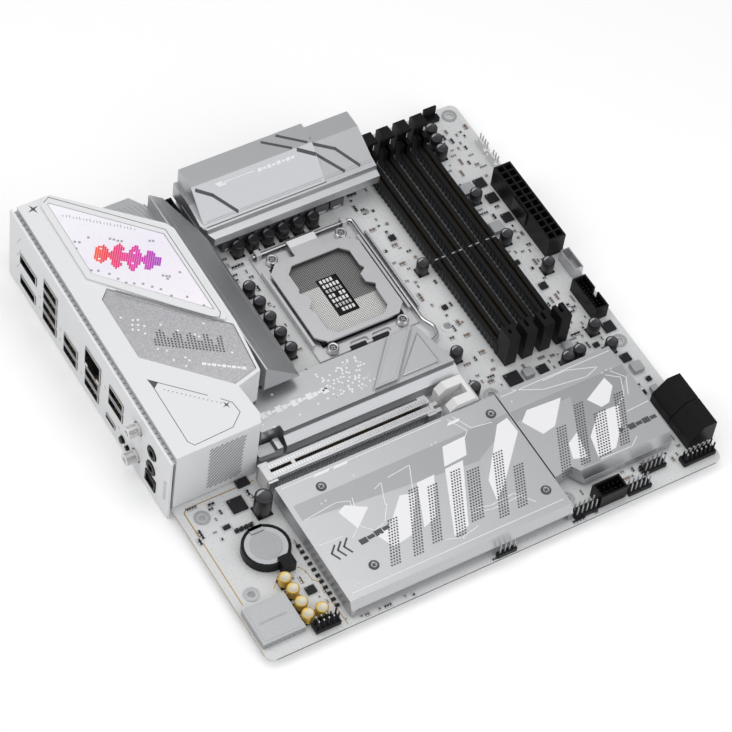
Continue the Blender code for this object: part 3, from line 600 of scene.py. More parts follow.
coverPrint = {
    "lineWidth": 0.3,
    "borderLine": [
        (12.6, 243.6), (15.9, 245.4), (56.3, 205.2), (56.4, 152.2), (54.8, 149.9), (51.4, 151.6),
        (19.0, 184.0),
    ],
    "plateLines": [
        [(9.1, 134.0), (29.4, 114.8)],
        [
            (33.8, 110.6), (37.6, 106.6), (38.2, 100.4), (31.3, 94.6), (11.4, 93.6), (9.4, 96.6),
            (9.6, 131.0),
        ],
    ],
    "sparks": [(6.8, 243.0, 3.1), (34.6, 106.6, 2.2)],
    "squareSize": 1.15,
    "squares": [
        (15.1, 217.0), (16.9, 215.8), (21.9, 216.5), (30.6, 211.6), (32.0, 210.4), (33.3, 208.9),
        (34.8, 208.0), (25.0, 208.8),
        (46.6, 202.6), (48.0, 201.8), (13.2, 200.7), (14.4, 199.0), (20.9, 193.6), (23.2, 189.4),
        (25.5, 185.8), (32.2, 181.9),
        (38.1, 175.6), (35.2, 178.6), (40.7, 170.3), (46.9, 166.6), (51.5, 158.9), (42.7, 182.2),
        (44.0, 181.2), (45.2, 180.4),
        (43.8, 179.6), (50.6, 180.5), (17.2, 197.4), (28.6, 183.8), (36.6, 201.2), (13.9, 213.2),
    ],
    "waveColumns": 30,
    "waveSquare": 0.92,
    "waveCentre": (33.0, 198.4),
    "waveSlope": (30.0, -21.0),
}


# Border lines, scattered squares and the stepped wave on the lit panel.
def buildCoverPrint():
    data = coverPrint
    lines = bmesh.new()
    raised = roofPlane(1.2)
    addStroke(lines, raised, data["borderLine"], data["lineWidth"])
    for line in data["plateLines"]:
        addStroke(lines, roofPlane(0), line, data["lineWidth"])
    addPatch(lines, roofPlane(0), [(9.0, 134.4), (12.8, 130.8), (9.6, 128.4)])
    for u, v, size in data["sparks"]:
        addSpark(lines, roofPlane(0), u, v, size)
    for k in range(14):
        addStroke(
            lines, roofPlane(0),
            [(13 + k * 1.5, 126 - k * 1.35), (13.5 + k * 1.5, 126 - k * 1.35)], 0.3,
        )
    finishPiece("coverPrint", lines, [inkDark], smooth=False)
    squares = bmesh.new()
    glass = roofPlane(1.0)
    for u, v in data["squares"]:
        addSquare(squares, glass, u, v, data["squareSize"], -0.6, thick=0.06)
    for k in range(22):
        u, v = 17.0 + k * 1.25, 232.5 - k * 1.02
        addStroke(squares, glass, [(u, v), (u + 0.4, v + 0.8 + 0.4 * (k % 3))], 0.34)
    finishPiece("panelSquares", squares, [inkGrey], smooth=False)
    wave = bmesh.new()
    size = data["waveSquare"]
    turn = math.atan2(data["waveSlope"][1], data["waveSlope"][0])
    centreU, centreV = data["waveCentre"]
    for column in range(data["waveColumns"]):
        swing = abs(math.sin(column * 0.42 + 0.6)) * (
            0.45 + 0.55 * math.sin(math.pi * column / data["waveColumns"])
        )
        reach = 1 + round(6 * swing)
        for row in range(-reach, reach + 1):
            if abs(row) == 3 and column % 5 == 2:
                continue
            a, b = (column - 14.5) * size * 1.12, row * size * 1.1
            u = centreU + a * math.cos(turn) - b * math.sin(turn)
            v = centreV + a * math.sin(turn) + b * math.cos(turn)
            addSquare(wave, glass, u, v, size, turn, thick=0.08)
    finishPiece("panelWave", wave, [emblemSquares], smooth=False)


inlayPrint = {
    "flecks": [
        (14.6, 170.3), (18.9, 166.6), (17.4, 164.4), (19.8, 163.2), (16.4, 162.0), (18.6, 160.6),
        (20.4, 157.6), (22.0, 161.4),
        (21.0, 165.8), (29.0, 158.9), (34.6, 152.6), (40.4, 147.2), (41.8, 145.4), (21.6, 147.4),
        (24.8, 144.8), (25.2, 138.8),
        (30.6, 137.8), (31.4, 135.6), (28.6, 133.4), (47.0, 151.0), (51.0, 131.0),
    ],
    "fleckSize": 1.0,
    "meterColumns": 21,
}


# White flecks and a dotted level meter, in place of lettering.
def buildInlayPrint():
    plane = roofPlane(-0.5)
    flecks = bmesh.new()
    for u, v in inlayPrint["flecks"]:
        addSquare(flecks, plane, u, v, inlayPrint["fleckSize"], -0.6, thick=0.06)
    for k in range(9):
        addStroke(
            flecks, plane,
            [(36.0 + k * 1.9, 131.4 - k * 1.25), (37.0 + k * 1.9, 130.7 - k * 1.25)],
            1.5 - 0.5 * (k % 2),
        )
    finishPiece("inlayFlecks", flecks, [inkWhite], smooth=False)
    dots = bmesh.new()
    for column in range(inlayPrint["meterColumns"]):
        level = 3 + round(4 * abs(math.sin(column * 0.7)))
        for row in range(level):
            u = 22.0 + column * 1.3 + row * 0.42
            v = 150.0 - column * 0.84 + row * 1.34
            addSquare(dots, plane, u, v, 0.86, -0.57, thick=0.05)
    finishPiece("inlayDots", dots, [inkDark], smooth=False)


coverTrim = {
    "ventPitch": 2.6, "ventWidth": 1.1, "ventLeft": 17.6, "ventRight": 37.4, "ventLow": 4.2,
    "ventHigh": 34.8,
}


# Slanted vent slots on the cover's end wall, drawn as grey strokes of painted shade, and the
# toothed seam strip.
def buildCoverTrim():
    data = coverTrim
    wall = (Vector((0.6, 90.5, 0)), Vector((1, 0.6 / 43.2, 0)), zAxis)
    # Painted shade: grey strokes stand for the dark insides of the vent slots.
    vent = bmesh.new()
    offset = data["ventLow"] - data["ventRight"]
    while offset < data["ventHigh"] - data["ventLeft"]:
        start = max(data["ventLeft"], data["ventLow"] - offset)
        end = min(
            data["ventRight"] - 0.08 * (data["ventHigh"] - start - offset),
            data["ventHigh"] - offset,
        )
        if end - start > 0.8:
            addStroke(
                vent, wall, [(start, start + offset), (end, end + offset)], data["ventWidth"],
                thick=0.06,
            )
        offset += data["ventPitch"]
    finishPiece("coverVentSlotShade", vent, [inkGrey], smooth=False)
    strip = bmesh.new()
    rise = 3.8 / 158.7
    teeth, length, gap = 52, 157.0, 0.9
    tooth = length / teeth
    for k in range(teeth):
        y0 = 90.2 + k * length / teeth
        z0 = 36.6 + rise * (y0 - 89.5)
        addBox(strip, (-1.3, 0.5), (y0, y0 + tooth - gap), (z0 - 1.4, z0))
        addBox(strip, (-1.3, 0.5), (y0 + tooth - gap, y0 + tooth), (z0 - 1.4, z0 - 0.35))
    finishPiece("coverSeamStrip", strip, [dullTin], smooth=False)


# Printed heatsinks

heatsinkPrint = {
    "shards": [
        [(124, 59.4), (136.4, 60.0), (131.6, 50.4), (119.0, 49.4)],
        [(118.6, 48.2), (128.6, 48.8), (112.0, 16.6), (103.4, 14.8)],
        [(103.0, 47.4), (112.6, 47.8), (101.0, 27.4), (93.6, 25.0)],
        [(153.4, 58.8), (159.6, 60.0), (160.0, 51.0), (139.0, 29.0), (131.0, 22.8), (133.4, 34.0)],
        [(76.4, 46.0), (66.4, 38.0), (62.8, 49.6), (67.2, 51.6)],
        [(92.4, 45.0), (99.8, 43.0), (86.6, 24.0), (76.0, 22.2), (72.0, 31.0), (82.0, 34.6)],
        [(164.6, 54.8), (170.2, 59.6), (188.6, 58.6), (177.4, 46.0), (170.0, 44.6)],
        [(199.0, 52.0), (213.4, 59.2), (214.4, 53.4), (207.6, 46.0), (203.0, 45.4)],
        [(199.6, 43.4), (211.0, 43.0), (206.6, 33.6), (196.4, 22.8), (186.0, 21.8), (189.0, 33.4)],
        [(177.8, 34.8), (184.6, 38.4), (181.6, 24.0), (174.8, 26.4)],
    ],
    "lines": [
        [(47, 52.6), (64.4, 54.6), (70.6, 52.6), (66.0, 38.0), (61.6, 34.6)],
        [(72.4, 53.6), (68.0, 38.6), (72.6, 33.6), (79.0, 35.4), (84.8, 43.8)],
        [(84.0, 53.2), (88.4, 55.0), (84.0, 43.6)],
        [(92.6, 56.0), (105.0, 57.4), (98.8, 43.6)],
        [(46, 37.8), (58.0, 37.4)],
        [(46.6, 9.4), (158.6, 9.6)],
        [(46.0, 72.0), (131.0, 72.6)],
        [(134.0, 71.6), (139.0, 62.0), (131.0, 54.6)],
        [(137.0, 71.8), (141.6, 62.6), (152.0, 61.0)],
        [(118.0, 24.0), (127.0, 21.6), (140.0, 22.6), (146.6, 14.0)],
        [(116.0, 22.4), (126.4, 19.6), (143.0, 20.0)],
        [(99.0, 15.0), (106.0, 12.6), (116.0, 14.6)],
        [(163.4, 71.4), (224.0, 71.6)],
        [(170.0, 72.6), (184.0, 66.2), (206.0, 63.4), (214.0, 66.0), (199.0, 71.0), (186.0, 70.6)],
        [(214.6, 60.4), (220.6, 56.0), (216.4, 46.6), (211.4, 43.4)],
        [(218.0, 61.4), (223.0, 55.0), (218.4, 46.0)],
        [(212.4, 38.0), (224.6, 38.6)],
        [(186.4, 20.6), (203.6, 20.2), (208.6, 23.8)],
    ],
    "bars": [
        [(62, 71), (70, 71), (71.6, 72.4), (63.6, 72.4)],
        [(72.4, 71), (79.6, 71), (81.2, 72.4), (74, 72.4)],
        [(132, 68.4), (138.4, 68.4), (139.6, 69.8), (133.4, 69.8)],
    ],
    "dotPitch": 1.42,
    "dotSize": 0.84,
    "dotBars": [
        (70.0, 14.0, 24.0, 7.0), (82.0, 14.0, 33.0, 6.0), (93.0, 16.0, 29.0, 7.0),
        (104.5, 14.0, 34.0, 6.0), (115.0, 18.0, 26.0, 8.0),
        (127.5, 14.0, 34.0, 6.0), (138.0, 15.0, 22.0, 7.0), (165.4, 20.0, 26.0, 7.0),
        (177.0, 22.0, 32.0, 6.0), (187.0, 22.0, 24.0, 8.0),
        (199.5, 23.0, 28.0, 6.0),
    ],
    "glints": [
        (58.4, 57.0), (60.8, 57.6), (79.2, 63.8), (120.0, 62.6), (122.4, 62.8), (49.4, 12.4),
        (51.8, 12.8), (106.6, 12.0),
        (166.6, 67.0), (214.0, 62.0), (216.8, 62.6), (219.2, 62.2), (74.0, 30.8),
    ],
    "screws": [(62.9, 65.2), (62.9, 17.9), (154.0, 65.2), (154.2, 17.4)],
}


# White shards, fine lines and bars of dots on the lower heatsinks.
def buildHeatsinkPrint():
    data = heatsinkPrint
    top = levelPlane(10.0)
    white = bmesh.new()
    for outline in data["shards"] + data["bars"]:
        addPatch(white, top, outline, thick=0.03)
    for line in data["lines"]:
        addStroke(white, top, line, 0.34, thick=0.04)
    for u, v in data["glints"]:
        addSpark(white, top, u, v, 0.8)
    finishPiece("heatsinkWhitePrint", white, [inkWhite], smooth=False)
    dark = bmesh.new()
    pitch = data["dotPitch"]
    for left, low, tall, wide in data["dotBars"]:
        for row in range(int(tall / pitch)):
            for column in range(int(wide / pitch)):
                u, v = left + column * pitch + row * pitch * 0.5, low + row * pitch
                if not 160.0 < u < 163.2:
                    addSquare(dark, top, u, v, data["dotSize"], 0.0, thick=0.06)
    for k in range(3):
        for first, second in (((52.4, 35.0), (49.0, 31.6)), ((49.0, 31.6), (51.0, 27.4))):
            addStroke(
                dark, top,
                [
                    (first[0] + k * 3.4, first[1] + k * 0.4),
                    (second[0] + k * 3.4, second[1] + k * 0.4),
                ],
                0.9,
            )
    for k in range(4):
        addStroke(
            dark, top, [(64.0 + k * 4.2, 31.0 + k * 0.5), (66.6 + k * 4.2, 31.2 + k * 0.5)],
            3.0 - (k % 2), thick=0.04,
        )
        addStroke(
            dark, top, [(208.6 + k * 4.0, 29.8), (211.0 + k * 4.0, 29.9)], 3.0 - (k % 2),
            thick=0.04,
        )
    addPatch(dark, top, [(203.4, 31.6), (206.0, 30.4), (203.2, 28.6)])
    finishPiece("heatsinkDotPrint", dark, [inkDark], smooth=False)
    band = bmesh.new()
    addPatch(
        band, top, [(46.0, 61.6), (160.9, 62.2), (160.9, 58.4), (135.0, 45.0), (46.0, 52.8)],
        thick=0.015,
    )
    addPatch(
        band, top,
        [
            (162.4, 62.0), (225.0, 62.0), (224.8, 56.8), (186.0, 20.0), (176.8, 20.0),
            (193.0, 57.0), (162.4, 55.8),
        ],
        thick=0.015,
    )
    finishPiece("heatsinkShadeBands", band, [bandSilver], smooth=False)


# A flat head with a dished middle and a cross recess.
def addScrew(shape, x, y, z, radius=2.5, cross=0):
    profile = [
        (0, z - 0.4), (radius, z - 0.4), (radius, z + 0.25), (radius - 0.35, z + 0.55),
        (radius * 0.62, z + 0.5), (radius * 0.5, z + 0.2), (0, z + 0.2),
    ]
    addTurned(shape, x, y, profile, [0, 0, 0, 0, 1, 1])
    for turn in (0.5, 0.5 + math.pi / 2):
        ahead = Vector((math.cos(turn), math.sin(turn))) * radius * 0.36
        addStroke(
            shape, levelPlane(z + 0.22), [Vector((x, y)) - ahead, Vector((x, y)) + ahead], 0.6,
            cross,
        )


def buildHeatsinkScrews():
    screws = bmesh.new()
    for x, y in heatsinkPrint["screws"]:
        addScrew(screws, x, y, 10.0)
    finishPiece("heatsinkScrews", screws, [inkDark, dullTin])
    frameScrews = bmesh.new()
    for number in range(1, 5):
        low, high = (Vector(corner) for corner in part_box(f"socket_screw_{number}"))
        centre = ((low + high) / 2 - boardCorner) / mm
        addScrew(frameScrews, centre.x, centre.y, 3.6, 2.9)
    finishPiece("socketScrewHeads", frameScrews, [polishedSteel, inkDark])


def buildUpperSinkPrint():
    top = levelPlane(15.0)
    flecks = bmesh.new()
    for k in range(85):
        u = 88.0 + 26.0 * dice.random() ** 0.7
        v = 101.0 + 18.0 * dice.random()
        if u < 108.5 + (v - 98) * 0.85:
            addSquare(flecks, top, u, v, 0.95, 0.0, thick=0.05)
    for u, v in (
        (54.0, 104.0), (58.0, 100.6), (66.0, 117.0), (72.0, 101.4), (82.6, 103.0), (49.0, 118.0),
    ):
        addSquare(flecks, top, max(u, 53.0), v, 0.95, 0.0, thick=0.05)
    for k in range(13):
        addStroke(
            flecks, top,
            [(56.0 + k * 2.7, 108.4 + 0.2 * (k % 2)), (57.5 + k * 2.7, 108.4 + 0.2 * (k % 2))],
            3.4 - 1.1 * (k % 3), thick=0.05,
        )
    finishPiece("upperSinkFlecks", flecks, [inkWhite], smooth=False)
    seams = bmesh.new()
    addStroke(
        seams, levelPlane(17.6),
        [(111.4, 98.4), (120.8, 98.4), (141.0, 121.0), (132.4, 121.0), (111.4, 98.4)], 0.22,
        thick=0.04,
    )
    addStroke(
        seams, top, [(124.0, 98.4), (146.0, 98.4), (145.0, 118.6), (124.0, 98.4)], 0.3, thick=0.04,
    )
    addStroke(seams, top, [(109.0, 98.0), (130.6, 122.0)], 0.7, thick=0.04)
    addStroke(seams, top, [(122.4, 97.4), (144.4, 121.8)], 0.7, thick=0.04)
    finishPiece("upperSinkSeams", seams, [inkGrey], smooth=False)
    wedge = bmesh.new()
    addPrism(wedge, [(125.4, 99.0), (145.4, 99.0), (144.6, 117.8)], (15.03, 15.9))
    finishPiece("upperSinkWedge", wedge, [satinSilver], bevel=0.4)


# Grooves on the slopes of the top heatsink and the gaps between its back fins, drawn as dark
# strokes of painted shade, and marks on the slopes.
def buildTopSinkTrim():
    steep = slopePlane(20.3 - 212.0 * 0.8902, 0.8902)
    gentle = slopePlane(21.2 - 212.0 * 0.5, 0.5)
    crest = levelPlane(34.6)
    # Painted shade: dark strokes for the grooves, the line along the foot of the slopes and the
    # gaps between the back fins.
    dark = bmesh.new()
    addStroke(dark, steep, [(84.6, 226.6), (91.8, 222.9), (101.4, 214.3)], 1.4)
    addStroke(dark, steep, [(140.6, 227.3), (148.6, 223.5)], 1.5)
    addStroke(dark, gentle, [(150.2, 225.2), (160.2, 214.0)], 1.5)
    addStroke(dark, gentle, [(150.4, 230.2), (160.6, 224.5), (168.8, 214.0)], 1.5)
    addStroke(dark, crest, [(126.8, 238.4), (138.1, 229.0)], 1.5)
    addStroke(dark, crest, [(135.3, 238.9), (146.6, 229.0)], 1.5)
    addStroke(dark, levelPlane(21.2), [(84.0, 212.4), (176.4, 212.4)], 0.4)
    for k in range(30):
        back = (Vector((0, 241.4, 0)), -xAxis, zAxis)
        addStroke(dark, back, [(-(86.0 + k * 3.0), 4.0), (-(86.0 + k * 3.0), 22.0)], 1.0)
    finishPiece("topSinkGrooveShade", dark, [inkDark], smooth=False)
    fine = bmesh.new()
    addStroke(fine, steep, [(84.6, 214.6), (100.0, 214.6)], 0.26)
    addStroke(fine, steep, [(103.0, 214.6), (148.8, 214.6)], 0.26)
    addStroke(fine, gentle, [(150.0, 214.6), (175.4, 214.6)], 0.26)
    addStroke(fine, (Vector((0, 207.0, 0)), xAxis, zAxis), [(90.0, 15.4), (176.0, 15.4)], 0.3)
    finishPiece("topSinkFineLines", fine, [inkGrey], smooth=False)
    light = bmesh.new()
    addPatch(light, steep, [(94.6, 226.4), (98.6, 226.4), (100.4, 224.8), (96.4, 224.8)])
    addStroke(light, steep, [(98.4, 225.8), (116.0, 225.8)], 0.28)
    for k in range(8):
        addStroke(
            light, steep, [(118.0 + k * 2.6, 225.4), (119.5 + k * 2.6, 225.4)], 1.3 - 0.5 * (k % 2),
        )
    finishPiece("topSinkMarks", light, [inkWhite], smooth=False)


# Steps along the rear heatsink's slope and grooves on its top, drawn as grey strokes of painted
# shade, and fins at its far end.
def buildRearSinkTrim():
    slope = (Vector((79.6, 0, 22.0)), yAxis, Vector((-17.2, 0, 14.0)).normalized())
    # Painted shade: grey strokes for the steps along the slope and the grooves on top.
    dark = bmesh.new()
    addStroke(dark, slope, [(121.0, 1.2), (229.0, 1.2)], 0.35)
    addStroke(dark, slope, [(126.0, 18.0), (231.0, 18.0)], 0.5)
    for k in range(9):
        addStroke(
            dark, levelPlane(27.5),
            [(41.0 + k * 2.5, 238.6 - k * 0.6), (47.0 + k * 2.0, 230.6 - k * 0.8)], 0.5,
        )
    finishPiece("rearSinkStepShade", dark, [inkGrey], smooth=False)
    fins = bmesh.new()
    for k in range(7):
        addBox(fins, (63.4 + 1.9 * k, 64.5 + 1.9 * k), (231.75, 232.35), (3.0, 19.5))
    finishPiece("rearSinkEndFins", fins, [satinSilver], bevel=0.15)


bandSilver = grained("bandSilver", shade(silver, 0.8), 0.4, 0.75, 6.0, height=0.08, tone=0.05)
buildCoverPrint()
buildInlayPrint()
buildCoverTrim()
buildHeatsinkPrint()
buildHeatsinkScrews()
buildUpperSinkPrint()
buildTopSinkTrim()
buildRearSinkTrim()
print("printed faces ready")

smallParts = {
    "blackCans": [
        (221.2, 229.5, 8.0), (220.1, 222.7, 8.0), (219.1, 215.8, 8.0), (219.7, 184.1, 8.0),
        (219.6, 155.5, 8.0),
        (228.9, 131.8, 8.0), (173.1, 157.7, 8.0), (160.2, 105.2, 8.0), (228.6, 90.1, 8.0),
        (230.0, 77.0, 8.0),
        (206.6, 79.3, 8.0), (213.8, 80.2, 8.0), (155.9, 82.7, 10.0),
        (98.3, 206.2, 8.0), (106.6, 206.2, 8.0), (114.9, 206.2, 8.0), (123.2, 206.2, 8.0),
        (131.5, 206.2, 8.0), (139.8, 206.2, 8.0),
        (91.0, 182.3, 8.0), (91.0, 172.2, 8.0), (91.0, 162.1, 8.0), (91.0, 152.0, 8.0),
        (91.0, 141.9, 8.0),
    ],
    "canRadius": 3.15,
    "tallCan": (36.0, 70.9, 13.0, 4.3),
    "audioCans": [(26.0, 32.6), (26.3, 26.0), (26.3, 18.4), (25.8, 11.6), (33.0, 11.5)],
    "chips": [
        (228.2, 192.8, 5.6, 5.6), (228.6, 182.1, 5.6, 5.6), (228.9, 168.3, 5.2, 5.2),
        (237.2, 89.1, 5.8, 5.8), (179.2, 83.3, 7.6, 7.0),
        (194.8, 81.6, 5.2, 5.2), (234.4, 69.8, 4.6, 4.6), (222.1, 124.2, 3.8, 3.8),
        (220.1, 108.1, 3.2, 3.2), (225.8, 82.6, 3.0, 2.4),
        (237.6, 54.5, 2.4, 2.4), (230.9, 48.7, 2.4, 2.4), (27.7, 78.9, 7.6, 7.6),
        (35.6, 88.6, 6.2, 4.4), (34.9, 24.2, 4.6, 4.0),
        (17.5, 70.4, 3.4, 2.0), (171.0, 182.0, 3.2, 3.2), (172.0, 134.0, 2.6, 2.6),
        (218.0, 142.0, 3.0, 2.4),
    ],
    "chokes": [
        (219.6, 191.2, 6.4), (220.1, 164.2, 6.4), (212.3, 87.6, 4.6), (235.5, 62.1, 5.6),
        (236.0, 47.6, 3.6), (186.8, 82.4, 5.0),
    ],
    "tinyFields": [
        (162.0, 176.0, 92.0, 228.0, 92), (216.0, 231.6, 92.0, 232.0, 170),
        (231.8, 241.6, 192.6, 232.0, 30), (150.0, 240.0, 76.0, 92.0, 170),
        (226.8, 232.0, 6.0, 96.0, 62), (44.0, 231.0, 0.8, 3.4, 66), (23.6, 43.0, 4.0, 60.0, 62),
        (2.0, 41.0, 64.0, 88.0, 44), (83.0, 101.0, 124.0, 205.0, 66),
        (102.0, 176.0, 124.0, 132.0, 30), (40.0, 42.6, 10.0, 48.0, 16),
        (84.0, 160.0, 202.6, 206.6, 26), (162.0, 226.0, 8.0, 16.0, 60),
    ],
}
keepClear = [
    (1.0, 22.8, 6.5, 28.0), (14.8, 39.2, 36.0, 63.6), (24.8, 39.0, 2.2, 8.4),
    (41.8, 155.0, 74.2, 90.6), (178.6, 214.8, 90.6, 232.6),
    (100.0, 158.6, 130.6, 202.6), (156.0, 162.6, 114.0, 202.0), (230.6, 246.0, 11.0, 44.2),
    (223.6, 242.4, 3.4, 9.6), (231.6, 240.6, 94.6, 117.0),
    (237.0, 243.2, 121.0, 135.6), (231.9, 242.8, 137.8, 190.8), (220.0, 232.0, 236.0, 241.0),
    (175.0, 190.8, 2.0, 11.4), (161.4, 226.8, 15.9, 74.6),
    (43.2, 161.4, 3.2, 74.6), (51.0, 154.0, 92.0, 122.8), (186.0, 242.0, 0.4, 8.6),
    (239.0, 244.0, 196.0, 218.0),
]


# A polymer can on a square foot; the top has a light half and a dark half.
def addCan(shape, x, y, height, radius, foot=0.8):
    addBox(
        shape, (x - radius * 0.9, x + radius * 0.9), (y - radius * 0.9, y + radius * 0.9),
        (0.05, foot), 0,
    )
    waist = radius * 0.93
    profile = [
        (radius * 0.8, foot), (radius * 0.98, foot + 0.1), (radius, foot + 0.7),
        (waist, foot + 1.2), (radius, foot + 1.7), (radius, height - 0.5),
        (radius * 0.93, height - 0.1), (radius * 0.84, height), (radius * 0.78, height - 0.12),
        (0, height - 0.12),
    ]
    addTurned(shape, x, y, profile, [0, 1, 1, 1, 1, 1, 1, 1, 2], 24)
    bow = [
        (
            x + radius * 0.76 * math.cos(k * math.pi / 10 + 0.9),
            y + radius * 0.76 * math.sin(k * math.pi / 10 + 0.9),
        )
        for k in range(7)
    ]
    addPatch(shape, levelPlane(height - 0.11), bow, 3, 0.03)


def buildCans():
    data = smallParts
    cans = bmesh.new()
    for x, y, height in data["blackCans"]:
        addCan(cans, x, y, height, data["canRadius"])
    addCan(cans, *data["tallCan"])
    finishPiece("polymerCans", cans, [blackMoulding, canBlack, canTop, inkGrey])
    audio = bmesh.new()
    for x, y in data["audioCans"]:
        addCan(audio, x, y, 6.0, 3.05)
    finishPiece("audioCans", audio, [blackMoulding, goldCan, paleTop, goldCan])


# A flat package with legs on four sides and a pin-one dot.
def addChip(shape, x, y, wide, deep, height=1.0):
    low = 0.12
    addBox(shape, (x - wide / 2, x + wide / 2), (y - deep / 2, y + deep / 2), (low, height), 0)
    pitch = 0.8
    for side, reach, other in ((0, wide, deep), (1, deep, wide)):
        count = int((other - 0.8) / pitch) + 1
        for k in range(count):
            along = (k - (count - 1) / 2) * pitch
            for sign in (-1, 1):
                near, far = sorted((sign * (reach / 2 - 0.05), sign * (reach / 2 + 0.35)))
                if side == 0:
                    addBox(
                        shape, (x + near, x + far), (y + along - 0.17, y + along + 0.17),
                        (0.02, 0.26), 1,
                    )
                else:
                    addBox(
                        shape, (x + along - 0.17, x + along + 0.17), (y + near, y + far),
                        (0.02, 0.26), 1,
                    )
    addTurned(
        shape, x - wide * 0.36, y + deep * 0.36,
        [(0, height - 0.02), (0.24, height - 0.02), (0.24, height + 0.015), (0, height + 0.015)],
        2, 12,
    )


def buildChips():
    chips = bmesh.new()
    for x, y, wide, deep in smallParts["chips"]:
        addChip(chips, x, y, wide, deep)
    for k in range(4):
        addChip(chips, 20.6 + 2.4 * k, 66.6, 1.8, 1.8, 1.4)
    for k in range(11):
        addBox(chips, (40.4, 42.4), (11.2 + 3.5 * k, 12.6 + 3.5 * k), (0.1, 1.0))
    finishPiece("chipPackages", chips, [chipEpoxy, tinSolder, inkGrey])
    chokes = bmesh.new()
    for x, y, size in smallParts["chokes"]:
        half = size / 2
        addBox(chokes, (x - half, x + half), (y - half, y + half), (0.25, 3.0), 0)
        addBox(
            chokes, (x - half - 0.15, x - half + 0.3), (y - half * 0.5, y + half * 0.5),
            (0.02, 1.6), 1,
        )
        addBox(
            chokes, (x + half - 0.3, x + half + 0.15), (y - half * 0.5, y + half * 0.5),
            (0.02, 1.6), 1,
        )
    finishPiece("greyChokes", chokes, [dullTin, tinSolder], bevel=0.4)
    row = bmesh.new()
    for k in range(8):
        x = 92.0 + k * 8.6
        addBox(row, (x, x + 7.6), (210.2, 216.6), (0.2, 6.6))
        addBox(row, (x + 1.4, x + 6.2), (209.9, 210.4), (0.05, 2.2), 1)
    for k in range(8):
        y = 124.6 + k * 9.6
        addBox(row, (82.2, 86.2), (y, y + 7.6), (0.2, 6.4))
        addBox(row, (85.9, 86.5), (y + 1.4, y + 6.2), (0.05, 2.2), 1)
    finishPiece("powerChokes", row, [chokeFerrite, tinSolder], bevel=0.35)


# True where a tiny part has room beside everything larger.
def isClear(x, y, room):
    if any(
        low - room < x < high + room and near - room < y < far + room
        for low, high, near, far in keepClear
    ):
        return False
    if any(math.hypot(x - cx, y - cy) < 3.7 + room for cx, cy, _ in smallParts["blackCans"]):
        return False
    if any(
        abs(x - cx) < wide / 2 + 0.9 + room and abs(y - cy) < deep / 2 + 0.9 + room
        for cx, cy, wide, deep in smallParts["chips"]
    ):
        return False
    if any(
        abs(x - cx) < size / 2 + 0.6 + room and abs(y - cy) < size / 2 + 0.6 + room
        for cx, cy, size in smallParts["chokes"]
    ):
        return False
    if any(math.hypot(x - cx, y - cy) < 3.6 + room for cx, cy in smallParts["audioCans"]):
        return False
    tallX, tallY = smallParts["tallCan"][:2]
    if math.hypot(x - tallX, y - tallY) < 5.0 + room:
        return False
    return all(math.hypot(x - cx, y - cy) > 4.4 + room for cx, cy in mountHoles)


mountHoles = [
    (10.16, 34.29), (10.16, 80.01), (33.02, 237.49), (165.1, 13.97),
    (165.1, 80.01), (165.1, 237.49), (237.49, 80.01), (237.49, 237.49),
]
memorySlotLefts = (179.2, 188.85, 198.5, 208.15)


# Chip resistors and capacitors, in short rows, kept clear of everything larger.
def buildTinyParts():
    shape = bmesh.new()
    marks = bmesh.new()
    taken = []
    for low, high, near, far, count in smallParts["tinyFields"]:
        for _ in range(count):
            x, y = dice.uniform(low, high), dice.uniform(near, far)
            row = dice.choice((1, 2, 2, 3, 4))
            turned, dark = dice.random() < 0.5, dice.random() < 0.55
            long, wide = dice.choice(((1.0, 0.5), (1.6, 0.8), (1.6, 0.8), (2.0, 1.2)))
            step = wide + 0.55
            places = [(x + k * step, y) if turned else (x, y + k * step) for k in range(row)]
            room = long / 2 + 0.3
            if not all(
                isClear(px, py, room) and low <= px <= high and near <= py <= far
                for px, py in places
            ):
                continue
            if any(
                abs(px - tx) < 1.9 and abs(py - ty) < 1.9
                for px, py in places
                for tx, ty in taken
            ):
                continue
            taken += places
            for px, py in places:
                half, thin = (wide / 2, long / 2) if turned else (long / 2, wide / 2)
                tall = 0.35 + wide * 0.4
                if turned:
                    addBox(
                        shape, (px - half, px + half), (py - thin * 0.6, py + thin * 0.6),
                        (0.03, tall), 0
                        if dark else 1
                    )
                    for sign in (-1, 1):
                        ends = sorted((py + sign * thin * 0.55, py + sign * thin))
                        addBox(shape, (px - half, px + half), ends, (0.02, tall + 0.03), 2)
                else:
                    addBox(
                        shape, (px - half * 0.6, px + half * 0.6), (py - thin, py + thin),
                        (0.03, tall), 0
                        if dark else 1
                    )
                    for sign in (-1, 1):
                        ends = sorted((px + sign * half * 0.55, px + sign * half))
                        addBox(shape, ends, (py - thin, py + thin), (0.02, tall + 0.03), 2)
            if dice.random() < 0.6:
                (ax, ay), (bx, by) = places[0], places[-1]
                edge = long / 2 + 0.35
                addStroke(
                    marks, levelPlane(0.0), [(ax - edge, ay - edge), (bx + edge, ay - edge)], 0.14,
                    thick=0.02,
                )
                addStroke(
                    marks, levelPlane(0.0), [(ax - edge, by + edge), (bx + edge, by + edge)], 0.14,
                    thick=0.02,
                )
    finishPiece("chipResistors", shape, [chipEpoxy, ceramicBrown, tinSolder], smooth=False)
    for x, y, wide, deep in smallParts["chips"]:
        a, b = wide / 2 + 0.8, deep / 2 + 0.8
        addStroke(
            marks, levelPlane(0.0),
            [(x - a, y - b), (x + a, y - b), (x + a, y + b), (x - a, y + b), (x - a, y - b)], 0.16,
            thick=0.02,
        )
    finishPiece("boardLegend", marks, [inkGrey], smooth=False)


